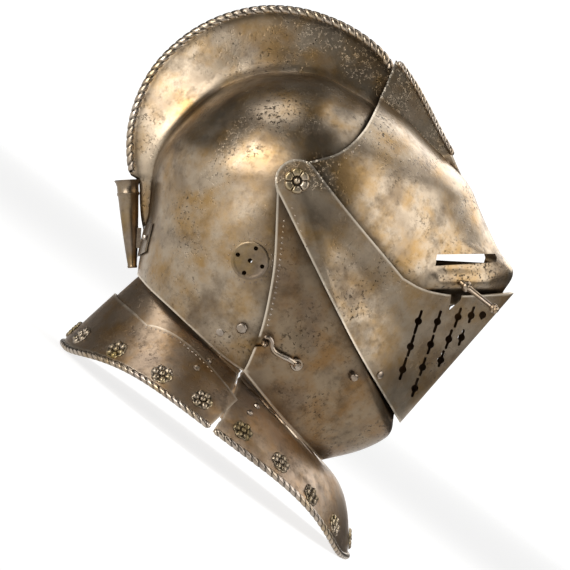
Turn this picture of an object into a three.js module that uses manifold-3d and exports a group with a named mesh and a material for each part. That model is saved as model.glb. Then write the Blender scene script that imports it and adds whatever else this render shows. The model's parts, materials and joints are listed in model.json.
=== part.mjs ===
// A close helmet: a combed skull, a chin bevor, a slotted visor and a pierced ventail that
// turn on one pair of side pivots, and a two-part gorget with a corded rim.
// Lengths are millimetres. The plates are worked out in the head frame: X forward, Y to the
// wearer's left, Z up, origin on the pivot axis. The helmet then leans back to rest on its rim.
import * as THREE from 'three';
import { mergeVertices } from 'three/addons/utils/BufferGeometryUtils.js';
import Module from 'manifold-3d';

const wasm = await Module();
wasm.setup();

// Driving dimensions
const SHEET = 1.4;            // plate thickness
const LAYER = 2.6;            // step from one nested plate to the next at the pivots
const SKULL_HALF_WIDTH = 97;  // pivot axis, outside of the skull
const REST_LEAN = 37.0;       // degrees from the worn pose to the pose on the rim
const BACK_TIP = { x: -173.5, z: -114 };  // rear end of the gorget rim in the head frame
const RIM_LENGTH = 268;
const RIM_HALF_WIDTH = 116;
const RIM_ARCH = 21;          // how far the rim clears the table at the shoulders
const RIM_FLAT_SHARE = 0.28;  // share of the half width that lies flat at front and back
const NECK_LENGTH = 192;
const NECK_HALF_WIDTH = 70;
const NECK_START = 14;        // from the rim's rear end to the neck's rear end
const NECK_FRONT_HEIGHT = 46.6;
const NECK_BACK_HEIGHT = 73.6;
const CORD_RADIUS = 3.6;      // corded edge of the comb
const RIM_CORD_RADIUS = 3.2;
const SLOT_CORD_RADIUS = 2.4;
const TAB_RADIUS = 15.5;      // round end of each plate at the pivot
const GAP = 0.3;

const rad = THREE.MathUtils.degToRad;
const clamp01 = (v) => Math.min(1, Math.max(0, v));
const mix = (a, b, t) => a + (b - a) * t;
const smooth = (v) => clamp01(v) ** 2 * (3 - 2 * clamp01(v));
const smoothMax = (a, b, k) => Math.max(a, b) + Math.max(k - Math.abs(a - b), 0) ** 2 / (4 * k);

// Tables: a row for each direction, in degrees up from straight ahead
const column = (rows, key) => rows.map((row) => row[key]);
const table = (names, rows) => rows.map((row) => Object.fromEntries(names.map((n, i) => [n, row[i]])));

// Cubic through the rows of a table, flat beyond its ends
function read(rows, key, at) {
  const a = column(rows, 'angle');
  const v = column(rows, key);
  if (at <= a[0]) return v[0];
  if (at >= a[a.length - 1]) return v[v.length - 1];
  const i = a.findIndex((x) => x > at) - 1;
  const slope = (k) => {
    const lo = Math.max(k - 1, 0);
    const hi = Math.min(k + 1, a.length - 1);
    return (v[hi] - v[lo]) / (a[hi] - a[lo]);
  };
  const h = a[i + 1] - a[i];
  const t = (at - a[i]) / h;
  const c1 = v[i] * (1 + 2 * t) * (1 - t) ** 2 + v[i + 1] * t * t * (3 - 2 * t);
  return c1 + h * (slope(i) * t * (1 - t) ** 2 - slope(i + 1) * t * t * (1 - t));
}

// Bowl of the skull; below the nape the radius is past the neck edge that trims it
const BOWL = table(['angle', 'radius'], [
  [-90, 203], [-60, 150], [-30, 128], [0, 90], [20, 85], [46, 82], [60, 78], [77, 77], [96, 80],
  [119, 86], [133, 93], [145, 100], [157, 105.5], [172, 108.5], [190, 114], [200, 121], [209, 134.5],
  [225, 165], [240, 188], [255, 203], [270, 203],
]);
const COMB = table(['angle', 'radius'], [
  [14, 98], [20, 102], [30, 105], [40, 106], [46, 107.5], [51, 113.5], [55, 117], [60, 119.5], [70, 123.5],
  [80, 127.3], [90, 131.3],
  [100, 134.6], [110, 136.6], [120, 137.8], [130, 138], [140, 137.4], [150, 135], [160, 131.5],
  [170, 126.5], [175, 123], [177, 111], [184, 108],
]);
// The chin; sharpness 0 is a round section and 1 a wedge
const CHIN = table(['angle', 'radius', 'sharpness'], [
  [-112, 212, 0], [-100, 212, 0], [-92, 210, 0.05], [-85, 203.7, 0.2], [-76, 201, 0.4],
  [-70.5, 197.7, 0.5], [-68.6, 193.5, 0.56], [-66.5, 182.5, 0.62], [-63, 177.5, 0.74], [-60, 175.5, 0.8],
  [-52, 171, 0.93],
  [-30, 168, 0.95], [0, 150, 0.8],
]);
const VISOR = table(['angle', 'radius', 'sharpness'], [
  [-60, 176, 0.93], [-50, 172, 0.95], [-36, 170.5, 0.95], [-27, 172, 0.95], [-21.4, 172.2, 0.93],
  [-18, 158.4, 0.9], [-14, 148.4, 0.85], [-10, 140.8, 0.8], [-6, 135, 0.74], [-2, 130.6, 0.66],
  [2, 125, 0.56], [6, 118, 0.42], [12, 109, 0.22], [20, 101, 0.08], [30, 95, 0], [40, 90.5, 0], [52, 88, 0],
]);
const KEEL = table(['angle', 'radius'], [
  [0, 126], [6, 120.5], [10, 117.9], [18, 113.6], [26, 112], [34, 112.6], [42, 114.9], [52, 118.4],
]);
const KEEL_SLOT_END = 4;      // degrees: the slot for the comb runs from here to the visor's top
const KEEL_SLOT_HALF = 7.2;
// The ventail's ridge is a straight line in the middle plane
const RIDGE = { top: { x: 161, z: -79.4 }, foot: { x: 76.7, z: -175.4 } };
const VENT_SHARPNESS = table(['angle', 'sharpness'], [
  [-72, 0.45], [-66, 0.62], [-60, 0.8], [-52, 0.93], [-30, 0.95],
]);

function ridgeRadius(angle) {
  const { top, foot } = RIDGE;
  const cross = top.x * foot.z - top.z * foot.x;
  const along = { x: foot.x - top.x, z: foot.z - top.z };
  return cross / (Math.cos(rad(angle)) * along.z - Math.sin(rad(angle)) * along.x);
}

const polar = (x, z, from) => {
  let angle = THREE.MathUtils.radToDeg(Math.atan2(z, x));
  if (angle < from) angle += 360;
  return { r: Math.hypot(x, z), angle };
};
const onRay = (angle, r) => ({ x: r * Math.cos(rad(angle)), z: r * Math.sin(rad(angle)) });
// Half width of a plate at distance r from the pivot: a round section at sharpness 0
const halfWidth = (width, r, radius, sharpness) => {
  const q = Math.min(1, r / radius) ** 2;
  return width * Math.sqrt(Math.max(0, (1 - q) * (1 - sharpness * q)));
};

// Half width of each plate over the side view; inset 0 is its outer face and SHEET its inner one
const LEDGE = { x0: 96, x1: 103, top: -57, ridge: -65.5, foot: -76, rise: 6.5 };
function sightLedge(x, z) {
  const across = smooth((x - LEDGE.x0) / (LEDGE.x1 - LEDGE.x0));
  const up = z > LEDGE.ridge ? (LEDGE.top - z) / (LEDGE.top - LEDGE.ridge)
    : (z - LEDGE.foot) / (LEDGE.ridge - LEDGE.foot) * 0.7 + 0.3;
  return LEDGE.rise * across * clamp01(up);
}

const plates = {
  skull: {
    from: -90,
    y(x, z, inset) {
      const { r, angle } = polar(x, z, this.from);
      return halfWidth(SKULL_HALF_WIDTH - inset, r, this.radius(angle, inset), 0);
    },
    radius: (angle, inset) => read(BOWL, 'radius', angle) - inset * 1.2,
  },
  bevor: {
    from: -180,
    y(x, z, inset) {
      const { r, angle } = polar(x, z, this.from);
      const sharpness = read(CHIN, 'sharpness', angle);
      return halfWidth(SKULL_HALF_WIDTH + LAYER - inset, r, this.radius(angle, inset), sharpness);
    },
    radius: (angle, inset) => read(CHIN, 'radius', angle) - inset * 1.2,
  },
  visor: {
    from: -180,
    y(x, z, inset) {
      const { r, angle } = polar(x, z, this.from);
      const radius = read(VISOR, 'radius', angle) - inset * 1.2;
      const sharpness = read(VISOR, 'sharpness', angle);
      const shell = halfWidth(SKULL_HALF_WIDTH + 2 * LAYER - inset, r, radius, sharpness);
      const ledge = sightLedge(x, z) * clamp01((radius - r) / 12);
      const crest = read(KEEL, 'radius', angle);
      const opened = smooth((angle - KEEL_SLOT_END) / 8);
      if (angle < KEEL_SLOT_END || r > crest + 1) return shell + ledge;
      return smoothMax(shell, (KEEL_SLOT_HALF + 0.26 * (crest - r) - inset) * opened, 8 * opened + 0.01);
    },
    radius(angle, inset) {
      const shell = read(VISOR, 'radius', angle) - inset * 1.2;
      return angle < KEEL_SLOT_END ? shell : Math.max(shell, read(KEEL, 'radius', angle));
    },
  },
  ventail: {
    from: -180,
    y(x, z, inset) {
      const { r, angle } = polar(x, z, this.from);
      const sharpness = read(VENT_SHARPNESS, 'sharpness', angle);
      return halfWidth(SKULL_HALF_WIDTH + 3 * LAYER - inset, r, this.radius(angle, inset), sharpness);
    },
    radius: (angle, inset) => ridgeRadius(Math.min(-20, Math.max(-80, angle))) - inset * 1.2,
  },
};

// Outlines in the side view. Each is a fan about a centre: an open edge of hand-placed
// corners, then the stretch of the middle plane between two directions.
const P = (x, z) => ({ x, z });
function tab(fromAngle, toAngle, steps) {
  return Array.from({ length: steps + 1 }, (_, i) => onRay(mix(fromAngle, toAngle, i / steps), TAB_RADIUS));
}
const OUTLINES = {
  skull: {
    centre: P(-30, 0),
    middle: { from: 14, to: 209, steps: 20 },
    edge: [P(-118, -65.1), P(-117, -66.1), P(-114, -69), P(-107, -76), P(-90, -91), P(-70, -109.4),
      P(-51, -126.4), P(-31, -140),
      P(-12, -110), P(-2, -80), P(8, -40), P(16, -8), P(25, 2), P(50, 11), P(83, 21)],
    edgeStep: 20,
  },
  bevor: {
    centre: P(5, -110),
    middle: { from: -84.7, to: -62, steps: 7 },
    edge: [onRay(-62, 182), P(62, -120), P(40, -75), P(19, -26), ...tab(-10, 205, 5),
      P(-16.2, -55.6), P(-19.6, -79), P(-25.6, -105), P(-34.4, -127.8), P(-38.2, -135),
      P(-10, -170), P(18.9, -202.8)],
    edgeStep: 24,
  },
  visor: {
    centre: P(80, -8),
    middle: { from: -29, to: KEEL_SLOT_END, steps: 8 },
    crest: { from: KEEL_SLOT_END, to: 51.6, steps: 8 },
    edge: [P(74.4, 93), P(66, 74), P(61.9, 65.1), P(58.2, 56.2), P(46.8, 35.8), P(30.5, 20.9),
      ...tab(60, 290, 5), P(25, -25), P(62, -66), P(84, -81), P(98, -76), P(103, -72),
      P(120, -73.5), P(128, -76), P(142, -74), P(148.5, -73.5), P(149.2, -80), onRay(-29, 171)],
    edgeStep: 24,
  },
  ventail: {
    centre: P(62, -100),
    middle: { from: -66.4, to: -26.25, steps: 8 },
    edge: [P(161, -79.4), P(129.3, -80.9), P(112.3, -80.5), P(91.4, -76.1), P(76.5, -68.3),
      P(37.6, -23), P(13.5, 7.6), ...tab(40, 200, 5), P(39.7, -113.6), P(76.7, -175.4)],
    edgeStep: 22,
  },
};

// Closed thin solid from a fan of points: both faces, both sides and the edge between
function fanShell(name, rings) {
  const plate = plates[name];
  const outline = OUTLINES[name];
  const border = [];
  const { from, to, steps } = outline.middle;
  for (let i = 0; i <= steps; i += 1) {
    const angle = mix(from, to, i / steps);
    border.push({ middle: true, at: (inset) => onRay(angle, plate.radius(angle, inset)) });
  }
  const { crest } = outline;
  for (let i = 1; crest && i <= crest.steps; i += 1) {
    const angle = mix(crest.from, crest.to, i / crest.steps);
    border.push({ middle: false, at: (inset) => onRay(angle, plate.radius(angle, inset)) });
  }
  const corners = outline.edge;
  for (let i = 0; i < corners.length - 1; i += 1) {
    const length = Math.hypot(corners[i + 1].x - corners[i].x, corners[i + 1].z - corners[i].z);
    const cuts = Math.max(1, Math.round(length / outline.edgeStep));
    for (let k = i === 0 ? 1 : 0; k < cuts; k += 1) {
      const x = mix(corners[i].x, corners[i + 1].x, k / cuts);
      const z = mix(corners[i].z, corners[i + 1].z, k / cuts);
      border.push({ middle: false, at: (inset) => drawIn(plate, x, z, inset) });
    }
  }
  const positions = [];
  const index = [];
  const add = (x, y, z) => positions.push(x, y, z) / 3 - 1;
  const { centre } = outline;
  const sheets = [0, SHEET].map((inset) => [-1, 1].map((side) => {
    const pole = add(centre.x, side * plate.y(centre.x, centre.z, inset), centre.z);
    const loops = [];
    for (let j = 1; j <= rings; j += 1) {
      const share = 1 - (1 - j / rings) ** 1.8;
      loops.push(border.map((b) => {
        const e = b.at(inset);
        const x = mix(centre.x, e.x, share);
        const z = mix(centre.z, e.z, share);
        const y = b.middle && j === rings ? 0 : plate.y(x, z, inset);
        return add(x, side * y, z);
      }));
    }
    return { pole, loops };
  }));
  const n = border.length;
  const face = (a, b, c, flip) => index.push(...(flip ? [a, c, b] : [a, b, c]));
  sheets.forEach((pair, inner) => pair.forEach(({ pole, loops }, side) => {
    const flip = (inner === 1) !== (side === 1);
    for (let i = 0; i < n; i += 1) {
      const k = (i + 1) % n;
      face(pole, loops[0][i], loops[0][k], flip);
      for (let j = 0; j < rings - 1; j += 1) {
        face(loops[j][i], loops[j + 1][i], loops[j + 1][k], flip);
        face(loops[j][i], loops[j + 1][k], loops[j][k], flip);
      }
    }
  }));
  for (let i = 0; i < n; i += 1) {
    const k = (i + 1) % n;
    if (border[i].middle && border[k].middle) continue;
    for (const side of [0, 1]) {
      const o = sheets[0][side].loops[rings - 1];
      const q = sheets[1][side].loops[rings - 1];
      face(o[i], q[i], q[k], side === 1);
      face(o[i], q[k], o[k], side === 1);
    }
  }
  return meshGeometry(positions, index);
}

// Where the inner face meets an open edge: the same place, drawn in towards the pivot near the middle plane
function drawIn(plate, x, z, inset) {
  if (!inset) return { x, z };
  const { r, angle } = polar(x, z, plate.from);
  const full = plate.radius(angle, 0);
  const step = (full - plate.radius(angle, inset)) * Math.min(1, r / full) ** 4;
  return onRay(angle, r - step);
}

function meshGeometry(positions, index) {
  const geometry = new THREE.BufferGeometry();
  geometry.setAttribute('position', new THREE.Float32BufferAttribute(positions, 3));
  geometry.setIndex(index);
  return geometry;
}

// Booleans
function solid(geometry) {
  const bare = geometry.clone();
  bare.deleteAttribute('normal');
  bare.deleteAttribute('uv');
  const merged = mergeVertices(bare, 1e-4);
  const triVerts = [];
  const tri = merged.index.array;
  for (let i = 0; i < tri.length; i += 3) {
    const [a, b, c] = [tri[i], tri[i + 1], tri[i + 2]];
    if (a !== b && b !== c && a !== c) triVerts.push(a, b, c);
  }
  return new wasm.Manifold(new wasm.Mesh({
    numProp: 3,
    vertProperties: new Float32Array(merged.attributes.position.array),
    triVerts: new Uint32Array(triVerts),
  }));
}

function geometryOf(manifold) {
  const mesh = manifold.getMesh();
  return meshGeometry(Array.from(mesh.vertProperties), Array.from(mesh.triVerts));
}

const union = (...list) => list.reduce((a, b) => a.add(b));

// Closed thin solid over a grid of a surface: place(u, v, lift) with lift along the normal
function gridShell(place, across, down, outer, inner) {
  const positions = [];
  const index = [];
  const add = (p) => positions.push(p.x, p.y, p.z) / 3 - 1;
  const [top, under] = [outer, inner].map((lift) => Array.from({ length: down + 1 }, (_, j) => Array.from(
    { length: across + 1 }, (_, i) => add(place(i / across, j / down, lift)))));
  const quad = (a, b, c, d) => index.push(a, b, c, a, c, d);
  for (let j = 0; j < down; j += 1) {
    for (let i = 0; i < across; i += 1) {
      quad(top[j][i], top[j][i + 1], top[j + 1][i + 1], top[j + 1][i]);
      quad(under[j][i], under[j + 1][i], under[j + 1][i + 1], under[j][i + 1]);
    }
    quad(top[j][0], top[j + 1][0], under[j + 1][0], under[j][0]);
    quad(top[j][across], under[j][across], under[j + 1][across], top[j + 1][across]);
  }
  for (let i = 0; i < across; i += 1) {
    quad(top[0][i], under[0][i], under[0][i + 1], top[0][i + 1]);
    quad(top[down][i], top[down][i + 1], under[down][i + 1], under[down][i]);
  }
  return meshGeometry(positions, index);
}

// Round bar along a list of points, closed at both ends, with one of its flats square to the up direction
function bar(points, radius, sides, up = new THREE.Vector3(0, 1, 0)) {
  const positions = [];
  const index = [];
  const last = points.length - 1;
  points.forEach((p, i) => {
    const ahead = points[Math.min(i + 1, last)];
    const t = new THREE.Vector3().subVectors(ahead, points[Math.max(i - 1, 0)]).normalize();
    const rise = up.clone().addScaledVector(t, -t.dot(up)).normalize();
    const side = new THREE.Vector3().crossVectors(rise, t);
    const size = typeof radius === 'function' ? radius(i / last) : radius;
    for (let k = 0; k < sides; k += 1) {
      const a = 2 * Math.PI * (k + 0.5) / sides;
      const q = p.clone().addScaledVector(side, size * Math.sin(a)).addScaledVector(rise, size * Math.cos(a));
      positions.push(q.x, q.y, q.z);
    }
  });
  for (let i = 0; i < last; i += 1) {
    for (let k = 0; k < sides; k += 1) {
      const m = (k + 1) % sides;
      index.push(i * sides + k, (i + 1) * sides + m, i * sides + m);
      index.push(i * sides + k, (i + 1) * sides + k, (i + 1) * sides + m);
    }
  }
  for (let k = 1; k < sides - 1; k += 1) {
    index.push(0, k, k + 1, last * sides, last * sides + k + 1, last * sides + k);
  }
  const made = meshGeometry(positions, index);
  return made;
}

// Turned solid about its own Y axis, from a profile of [radius, height] pairs on the axis at both ends
function turned(profile, sides) {
  return new THREE.LatheGeometry(profile.map(([r, h]) => new THREE.Vector2(r, h)), sides);
}

// Straight prism across the helmet from an outline in the side view
function crossPrism(outline, yFrom, yTo) {
  const shape = new THREE.Shape(outline.map(({ x, z }) => new THREE.Vector2(x, z)));
  const geometry = new THREE.ExtrudeGeometry(shape, { depth: yTo - yFrom, bevelEnabled: false });
  geometry.rotateX(Math.PI / 2);
  return geometry.translate(0, yTo, 0);
}

// Materials
const STEEL = { color: '#6f6353', metalness: 0.9, roughness: 0.42 };
const finish = (spec) => new THREE.MeshStandardMaterial(spec);
const MATERIALS = {
  plate: finish(STEEL),
  gorget: finish({ ...STEEL, color: '#6a5e50' }),
  brass: finish({ color: '#7c6a45', metalness: 0.9, roughness: 0.45 }),
  rivet: finish({ color: '#8b806e', metalness: 0.9, roughness: 0.35 }),
};

const head = new THREE.Group();
function addPiece(name, geometry, material, parent = head) {
  const mesh = new THREE.Mesh(geometry, MATERIALS[material]);
  mesh.name = name;
  parent.add(mesh);
  return mesh;
}

// Skull with its comb and the corded edge along the comb
function combCord() {
  const steps = 24;
  const points = Array.from({ length: steps + 1 }, (_, i) => {
    const angle = mix(19, 174.6, i / steps);
    const { x, z } = onRay(angle, read(COMB, 'radius', angle) - CORD_RADIUS * 0.45);
    return new THREE.Vector3(x, 0, z);
  });
  return bar(points, CORD_RADIUS, 6);
}
const ringOf = (x, z, radius, sides) => Array.from({ length: sides }, (_, i) => P(
  x + radius * Math.cos(2 * Math.PI * i / sides), z + radius * Math.sin(2 * Math.PI * i / sides)));
const pin = (x, z, radius, yFrom, yTo, sides) => crossPrism(ringOf(x, z, radius, sides), yFrom, yTo);
const SIDE_REACH = 130;
const BORE = 2.6;
const boreOf = (shell) => shell.subtract(solid(pin(0, 0, BORE, -SIDE_REACH, SIDE_REACH, 8)));
const EAR = { x: -33.2, z: -56, radius: 13.6, hole: 1.6, ring: 9.6, turn: 64 };
// The comb's fin stands on the bowl and thins towards its crest
const FIN = { from: 16, to: 176.4, crestHalf: 3, taper: 0.1 };
const fin = gridShell((u, v, side) => {
  const angle = mix(FIN.from, FIN.to, u);
  const crest = read(COMB, 'radius', angle);
  const root = read(BOWL, 'radius', angle) - SHEET * 0.7;
  const r = mix(root, Math.max(root + 0.6, crest), v);
  const { x, z } = onRay(angle, r);
  const half = FIN.crestHalf + FIN.taper * Math.max(0, crest - r) + 4 * (1 - v) ** 4;
  return new THREE.Vector3(x, side * half, z);
}, 26, 3, 1, -1);
let skull = boreOf(union(solid(fanShell('skull', 5)), solid(fin), solid(combCord())));
skull = skull.subtract(solid(pin(EAR.x, EAR.z, EAR.radius - 2.4, -SIDE_REACH, SIDE_REACH, 10)));
addPiece('skull', geometryOf(skull), 'plate');

// Bevor with the notch its catch stud shows through
const CATCH = P(-22.6, -113.6);
const notch = [P(CATCH.x - 24, CATCH.z + 4.5), P(CATCH.x + 3, CATCH.z + 2.4),
  P(CATCH.x + 3, CATCH.z - 3.4), P(CATCH.x - 24, CATCH.z - 4)];
const bevor = boreOf(solid(fanShell('bevor', 4)));
addPiece('bevor', geometryOf(bevor.subtract(solid(crossPrism(notch, -SIDE_REACH, -30)))), 'plate');

// Visor with its two sights and the corded edges of the slot in its keel
const SIGHT = [P(101, -51.5), P(145, -51), P(146.5, -54), P(144.8, -58), P(100, -59.5)];
function slotCord(side) {
  const points = Array.from({ length: 13 }, (_, i) => {
    const angle = mix(13, 50.5, i / 12);
    const r = read(KEEL, 'radius', angle) + 0.4;
    const { x, z } = onRay(angle, r);
    return new THREE.Vector3(x, side * (plates.visor.y(x, z, 0) - 0.2), z);
  });
  return bar(points, SLOT_CORD_RADIUS, 6);
}
let visor = union(solid(fanShell('visor', 5)), solid(slotCord(-1)), solid(slotCord(1)));
for (const [from, to] of [[-SIDE_REACH, -3.5], [3.5, SIDE_REACH]]) {
  visor = visor.subtract(solid(crossPrism(SIGHT, from, to)));
}
addPiece('visor', geometryOf(boreOf(visor)), 'plate');

// Ventail: breaths in slanting rows, each a slit with a round hole near its middle
const BREATHS = table(['x', 'z', 'length', 'hole'], [
  [88.0, -100.3, 16.5, 0.05], [83.0, -117.4, 15.0, -0.05], [77.5, -134.2, 15.6, -0.05],
  [102.6, -100.0, 15.2, 0], [98.0, -116.8, 13.4, 0], [92.5, -133.0, 12.6, -0.05], [87.0, -148.5, 13.0, -0.05],
  [118.0, -97.2, 13.6, 0.05], [111.8, -113.0, 13.4, 0], [106.5, -127.5, 11.2, -0.1],
  [128.4, -95.2, 11.0, -0.05], [121.4, -112.0, 11.0, 0], [137.0, -95.8, 4.2, 0.1],
]);
const BREATH_LEAN = 17;       // degrees from upright
const SLIT_HALF_WIDTH = 0.9;
const BREATH_HOLE = 1.9;
function breath({ x, z, length, hole }) {
  const run = { x: Math.sin(rad(BREATH_LEAN)), z: Math.cos(rad(BREATH_LEAN)) };
  const spot = (u, w) => P(x + run.x * u + run.z * w, z + run.z * u - run.x * w);
  const half = length / 2;
  const at = hole * length;
  const w = SLIT_HALF_WIDTH;
  const ring = [spot(-half, 0), spot(at - BREATH_HOLE, w), spot(at, BREATH_HOLE), spot(at + BREATH_HOLE, w),
    spot(half, 0), spot(at + BREATH_HOLE, -w), spot(at, -BREATH_HOLE), spot(at - BREATH_HOLE, -w)];
  return [[-90, -3], [3, 90]].map(([from, to]) => crossPrism(ring.slice().reverse(), from, to));
}
const VENT_NOTCH = [P(111.5, -70), P(112.3, -81), P(110.9, -92), P(119.5, -84.2), P(123, -70)];
let ventail = boreOf(solid(fanShell('ventail', 4)));
for (const cut of BREATHS.flatMap(breath)) ventail = ventail.subtract(solid(cut));
ventail = ventail.subtract(solid(crossPrism(VENT_NOTCH.slice().reverse(), -SIDE_REACH, -3)));
addPiece('ventail', geometryOf(ventail), 'plate');

// Gorget: a collar from the neck to the rim, drawn in the leaned frame of the rim.
// turn is degrees round from the front, drop runs 0 at the neck to 1 at the rim.
const RIM_FRAME = {
  along: new THREE.Vector3(Math.cos(rad(REST_LEAN)), 0, -Math.sin(rad(REST_LEAN))),
  up: new THREE.Vector3(Math.sin(rad(REST_LEAN)), 0, Math.cos(rad(REST_LEAN))),
};
function fromRim(a, y, h) {
  const p = new THREE.Vector3(BACK_TIP.x, y, BACK_TIP.z);
  return p.addScaledVector(RIM_FRAME.along, a).addScaledVector(RIM_FRAME.up, h);
}
function collar(turn, drop) {
  const c = Math.cos(rad(turn));
  const s = Math.sin(rad(turn));
  const power = c > 0 ? mix(0.9, 0.44, c * c) : 0.95;
  const spread = drop < 0 ? drop * 0.25 : drop ** power;
  const neckMean = (NECK_FRONT_HEIGHT + NECK_BACK_HEIGHT) / 2;
  const neckHeight = neckMean + c * (NECK_FRONT_HEIGHT - NECK_BACK_HEIGHT) / 2 + 3 * s * s;
  const rimHeight = RIM_ARCH * smooth((Math.abs(s) - RIM_FLAT_SHARE) / (1 - RIM_FLAT_SHARE));
  return fromRim(
    mix(NECK_START + NECK_LENGTH / 2 * (1 + c), RIM_LENGTH / 2 * (1 + c), spread),
    -mix(NECK_HALF_WIDTH, RIM_HALF_WIDTH, spread) * s,
    mix(neckHeight, rimHeight, drop),
  );
}
function collarNormal(turn, drop) {
  const d = Math.max(drop, 0.02);
  const across = collar(turn + 0.5, d).sub(collar(turn - 0.5, d));
  const down = collar(turn, d + 0.01).sub(collar(turn, d - 0.01));
  return across.cross(down).normalize();
}
const onCollar = (turn, drop, lift) => collar(turn, drop).addScaledVector(collarNormal(turn, drop), lift);

const SPLIT = { neck: 84, rim: 93, gap: 0.7 };
const splitTurn = (drop) => mix(SPLIT.neck, SPLIT.rim, drop);
const frontTurn = (u, drop) => (2 * u - 1) * (splitTurn(drop) - SPLIT.gap);
const rearTurn = (u, drop) => 180 + (2 * u - 1) * (180 - splitTurn(drop) - SPLIT.gap);
const FRONT_TUCK = 3.2;       // the front plate stands this far inside the bevor's edge
const LAME_TUCK = 3.2;
const REAR_TUCK = 1;
const PLATE_END = 0.95;       // the plates stop inside the cord
function rimCord(turnAt, tuck) {
  const points = Array.from({ length: 23 }, (_, i) => {
    const turn = turnAt(i / 22, 1);
    const outward = collarNormal(turn, 1);
    outward.addScaledVector(RIM_FRAME.up, -outward.dot(RIM_FRAME.up)).normalize();
    return collar(turn, 1).addScaledVector(outward, -tuck);
  });
  return bar(points, RIM_CORD_RADIUS, 6, RIM_FRAME.up);
}
const frontPlate = gridShell((u, v, lift) => {
  const top = -0.12 * Math.sin(rad(frontTurn(u, 0))) ** 4;
  const drop = mix(top, PLATE_END, v);
  return onCollar(frontTurn(u, drop), drop, lift);
}, 22, 5, -FRONT_TUCK, -FRONT_TUCK - SHEET);
const frontCord = rimCord(frontTurn, FRONT_TUCK + SHEET / 2);
addPiece('front_gorget', geometryOf(union(solid(frontPlate), solid(frontCord))), 'gorget');
const CUSP_TURN = 112;        // the rear plate's upper edge rises to a cusp here on each side
const rearTop = (turn) => 0.3 - 0.1 * smooth(1 - Math.abs(Math.abs(turn - 180) - (180 - CUSP_TURN)) / 16);
const rearPlate = gridShell((u, v, lift) => {
  const turn = rearTurn(u, v);
  return onCollar(turn, mix(rearTop(turn), PLATE_END, v), lift);
}, 22, 3, -REAR_TUCK, -REAR_TUCK - SHEET);
const rearCord = rimCord(rearTurn, REAR_TUCK + SHEET / 2);
addPiece('rear_gorget', geometryOf(union(solid(rearPlate), solid(rearCord))), 'gorget');
const lame = gridShell((u, v, lift) => {
  const drop = mix(-0.12, 0.42, v);
  return onCollar(rearTurn(u, drop), drop, lift);
}, 20, 2, -LAME_TUCK, -LAME_TUCK - SHEET);
addPiece('nape_lame', lame, 'gorget');

// Small pieces stand on a plate with their own Y axis along its normal
function stand(geometry, point, normal, lift) {
  const turn = new THREE.Quaternion().setFromUnitVectors(new THREE.Vector3(0, 1, 0), normal);
  const at = point.clone().addScaledVector(normal, lift);
  return geometry.clone().applyQuaternion(turn).translate(at.x, at.y, at.z);
}
function onPlate(name, x, z, side) {
  const plate = plates[name];
  const slope = (dx, dz) => (plate.y(x + dx, z + dz, 0) - plate.y(x - dx, z - dz, 0)) / 2;
  return {
    point: new THREE.Vector3(x, side * plate.y(x, z, 0), z),
    normal: new THREE.Vector3(-slope(1, 0), side, -slope(0, 1)).normalize(),
  };
}
function rosette(radius, petals, height) {
  const steps = petals * 2;
  const ring = Array.from({ length: steps }, (_, i) => {
    const a = 2 * Math.PI * i / steps;
    const r = radius * (0.91 + 0.09 * Math.cos(petals * a));
    return new THREE.Vector2(r * Math.cos(a), r * Math.sin(a));
  });
  const depth = height * 0.55;
  const disc = new THREE.ExtrudeGeometry(new THREE.Shape(ring), { depth, bevelEnabled: false });
  disc.rotateX(-Math.PI / 2);
  const boss = turned([
    [0, height * 0.3], [radius * 0.36, height * 0.3], [radius * 0.3, height * 0.85], [0, height],
  ], 6);
  return geometryOf(union(solid(disc), solid(boss)));
}
const rivetHead = (radius, height) => turned([
  [0, 0], [radius, 0], [radius * 0.8, height * 0.65], [0, height],
], 8);
const collarSpot = (turn, drop, lift) => ({
  point: onCollar(turn, drop, lift),
  normal: collarNormal(turn, drop),
});

const ROSETTE = rosette(8, 6, 3);
const FRONT_ROSETTES = table(['name', 'turn', 'drop'], [
  ['a', 81, 0.67], ['b', 64, 0.67], ['c', 47.5, 0.71], ['d', 28, 0.71],
]);
const REAR_ROSETTES = table(['name', 'turn', 'drop'], [
  ['a', 98.5, 0.73], ['b', 115.2, 0.8], ['c', 135.8, 0.83], ['d', 159.2, 0.82],
]);
function addRosettes(plate, rows, middleTurn, tuck) {
  const put = (name, turn, drop) => {
    const spot = collarSpot(turn, drop, -tuck);
    addPiece(name, stand(ROSETTE, spot.point, spot.normal, GAP + 0.25), 'brass');
  };
  for (const { name, turn, drop } of rows) {
    put(`${plate}_rosette_${name}_right`, turn, drop);
    put(`${plate}_rosette_${name}_left`, -turn, drop);
  }
  put(`${plate}_rosette_middle`, middleTurn, middleTurn ? 0.84 : 0.74);
}
addRosettes('front', FRONT_ROSETTES, 0, FRONT_TUCK);
addRosettes('rear', REAR_ROSETTES, 180, REAR_TUCK);

const COLLAR_RIVETS = table(['name', 'turn', 'drop', 'tuck'], [
  ['front_rivet_upper', 73.5, 0.15, FRONT_TUCK], ['front_rivet_lower', 77.8, 0.34, FRONT_TUCK],
  ['rear_rivet_upper', 100, 0.17, LAME_TUCK], ['rear_rivet_lower', 104.2, 0.41, REAR_TUCK],
]);
for (const { name, turn, drop, tuck } of COLLAR_RIVETS) {
  for (const [side, sign] of [['right', 1], ['left', -1]]) {
    const spot = collarSpot(sign * turn, drop, -tuck);
    addPiece(`${name}_${side}`, stand(rivetHead(2.6, 1.6), spot.point, spot.normal, GAP), 'rivet');
  }
}

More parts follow.
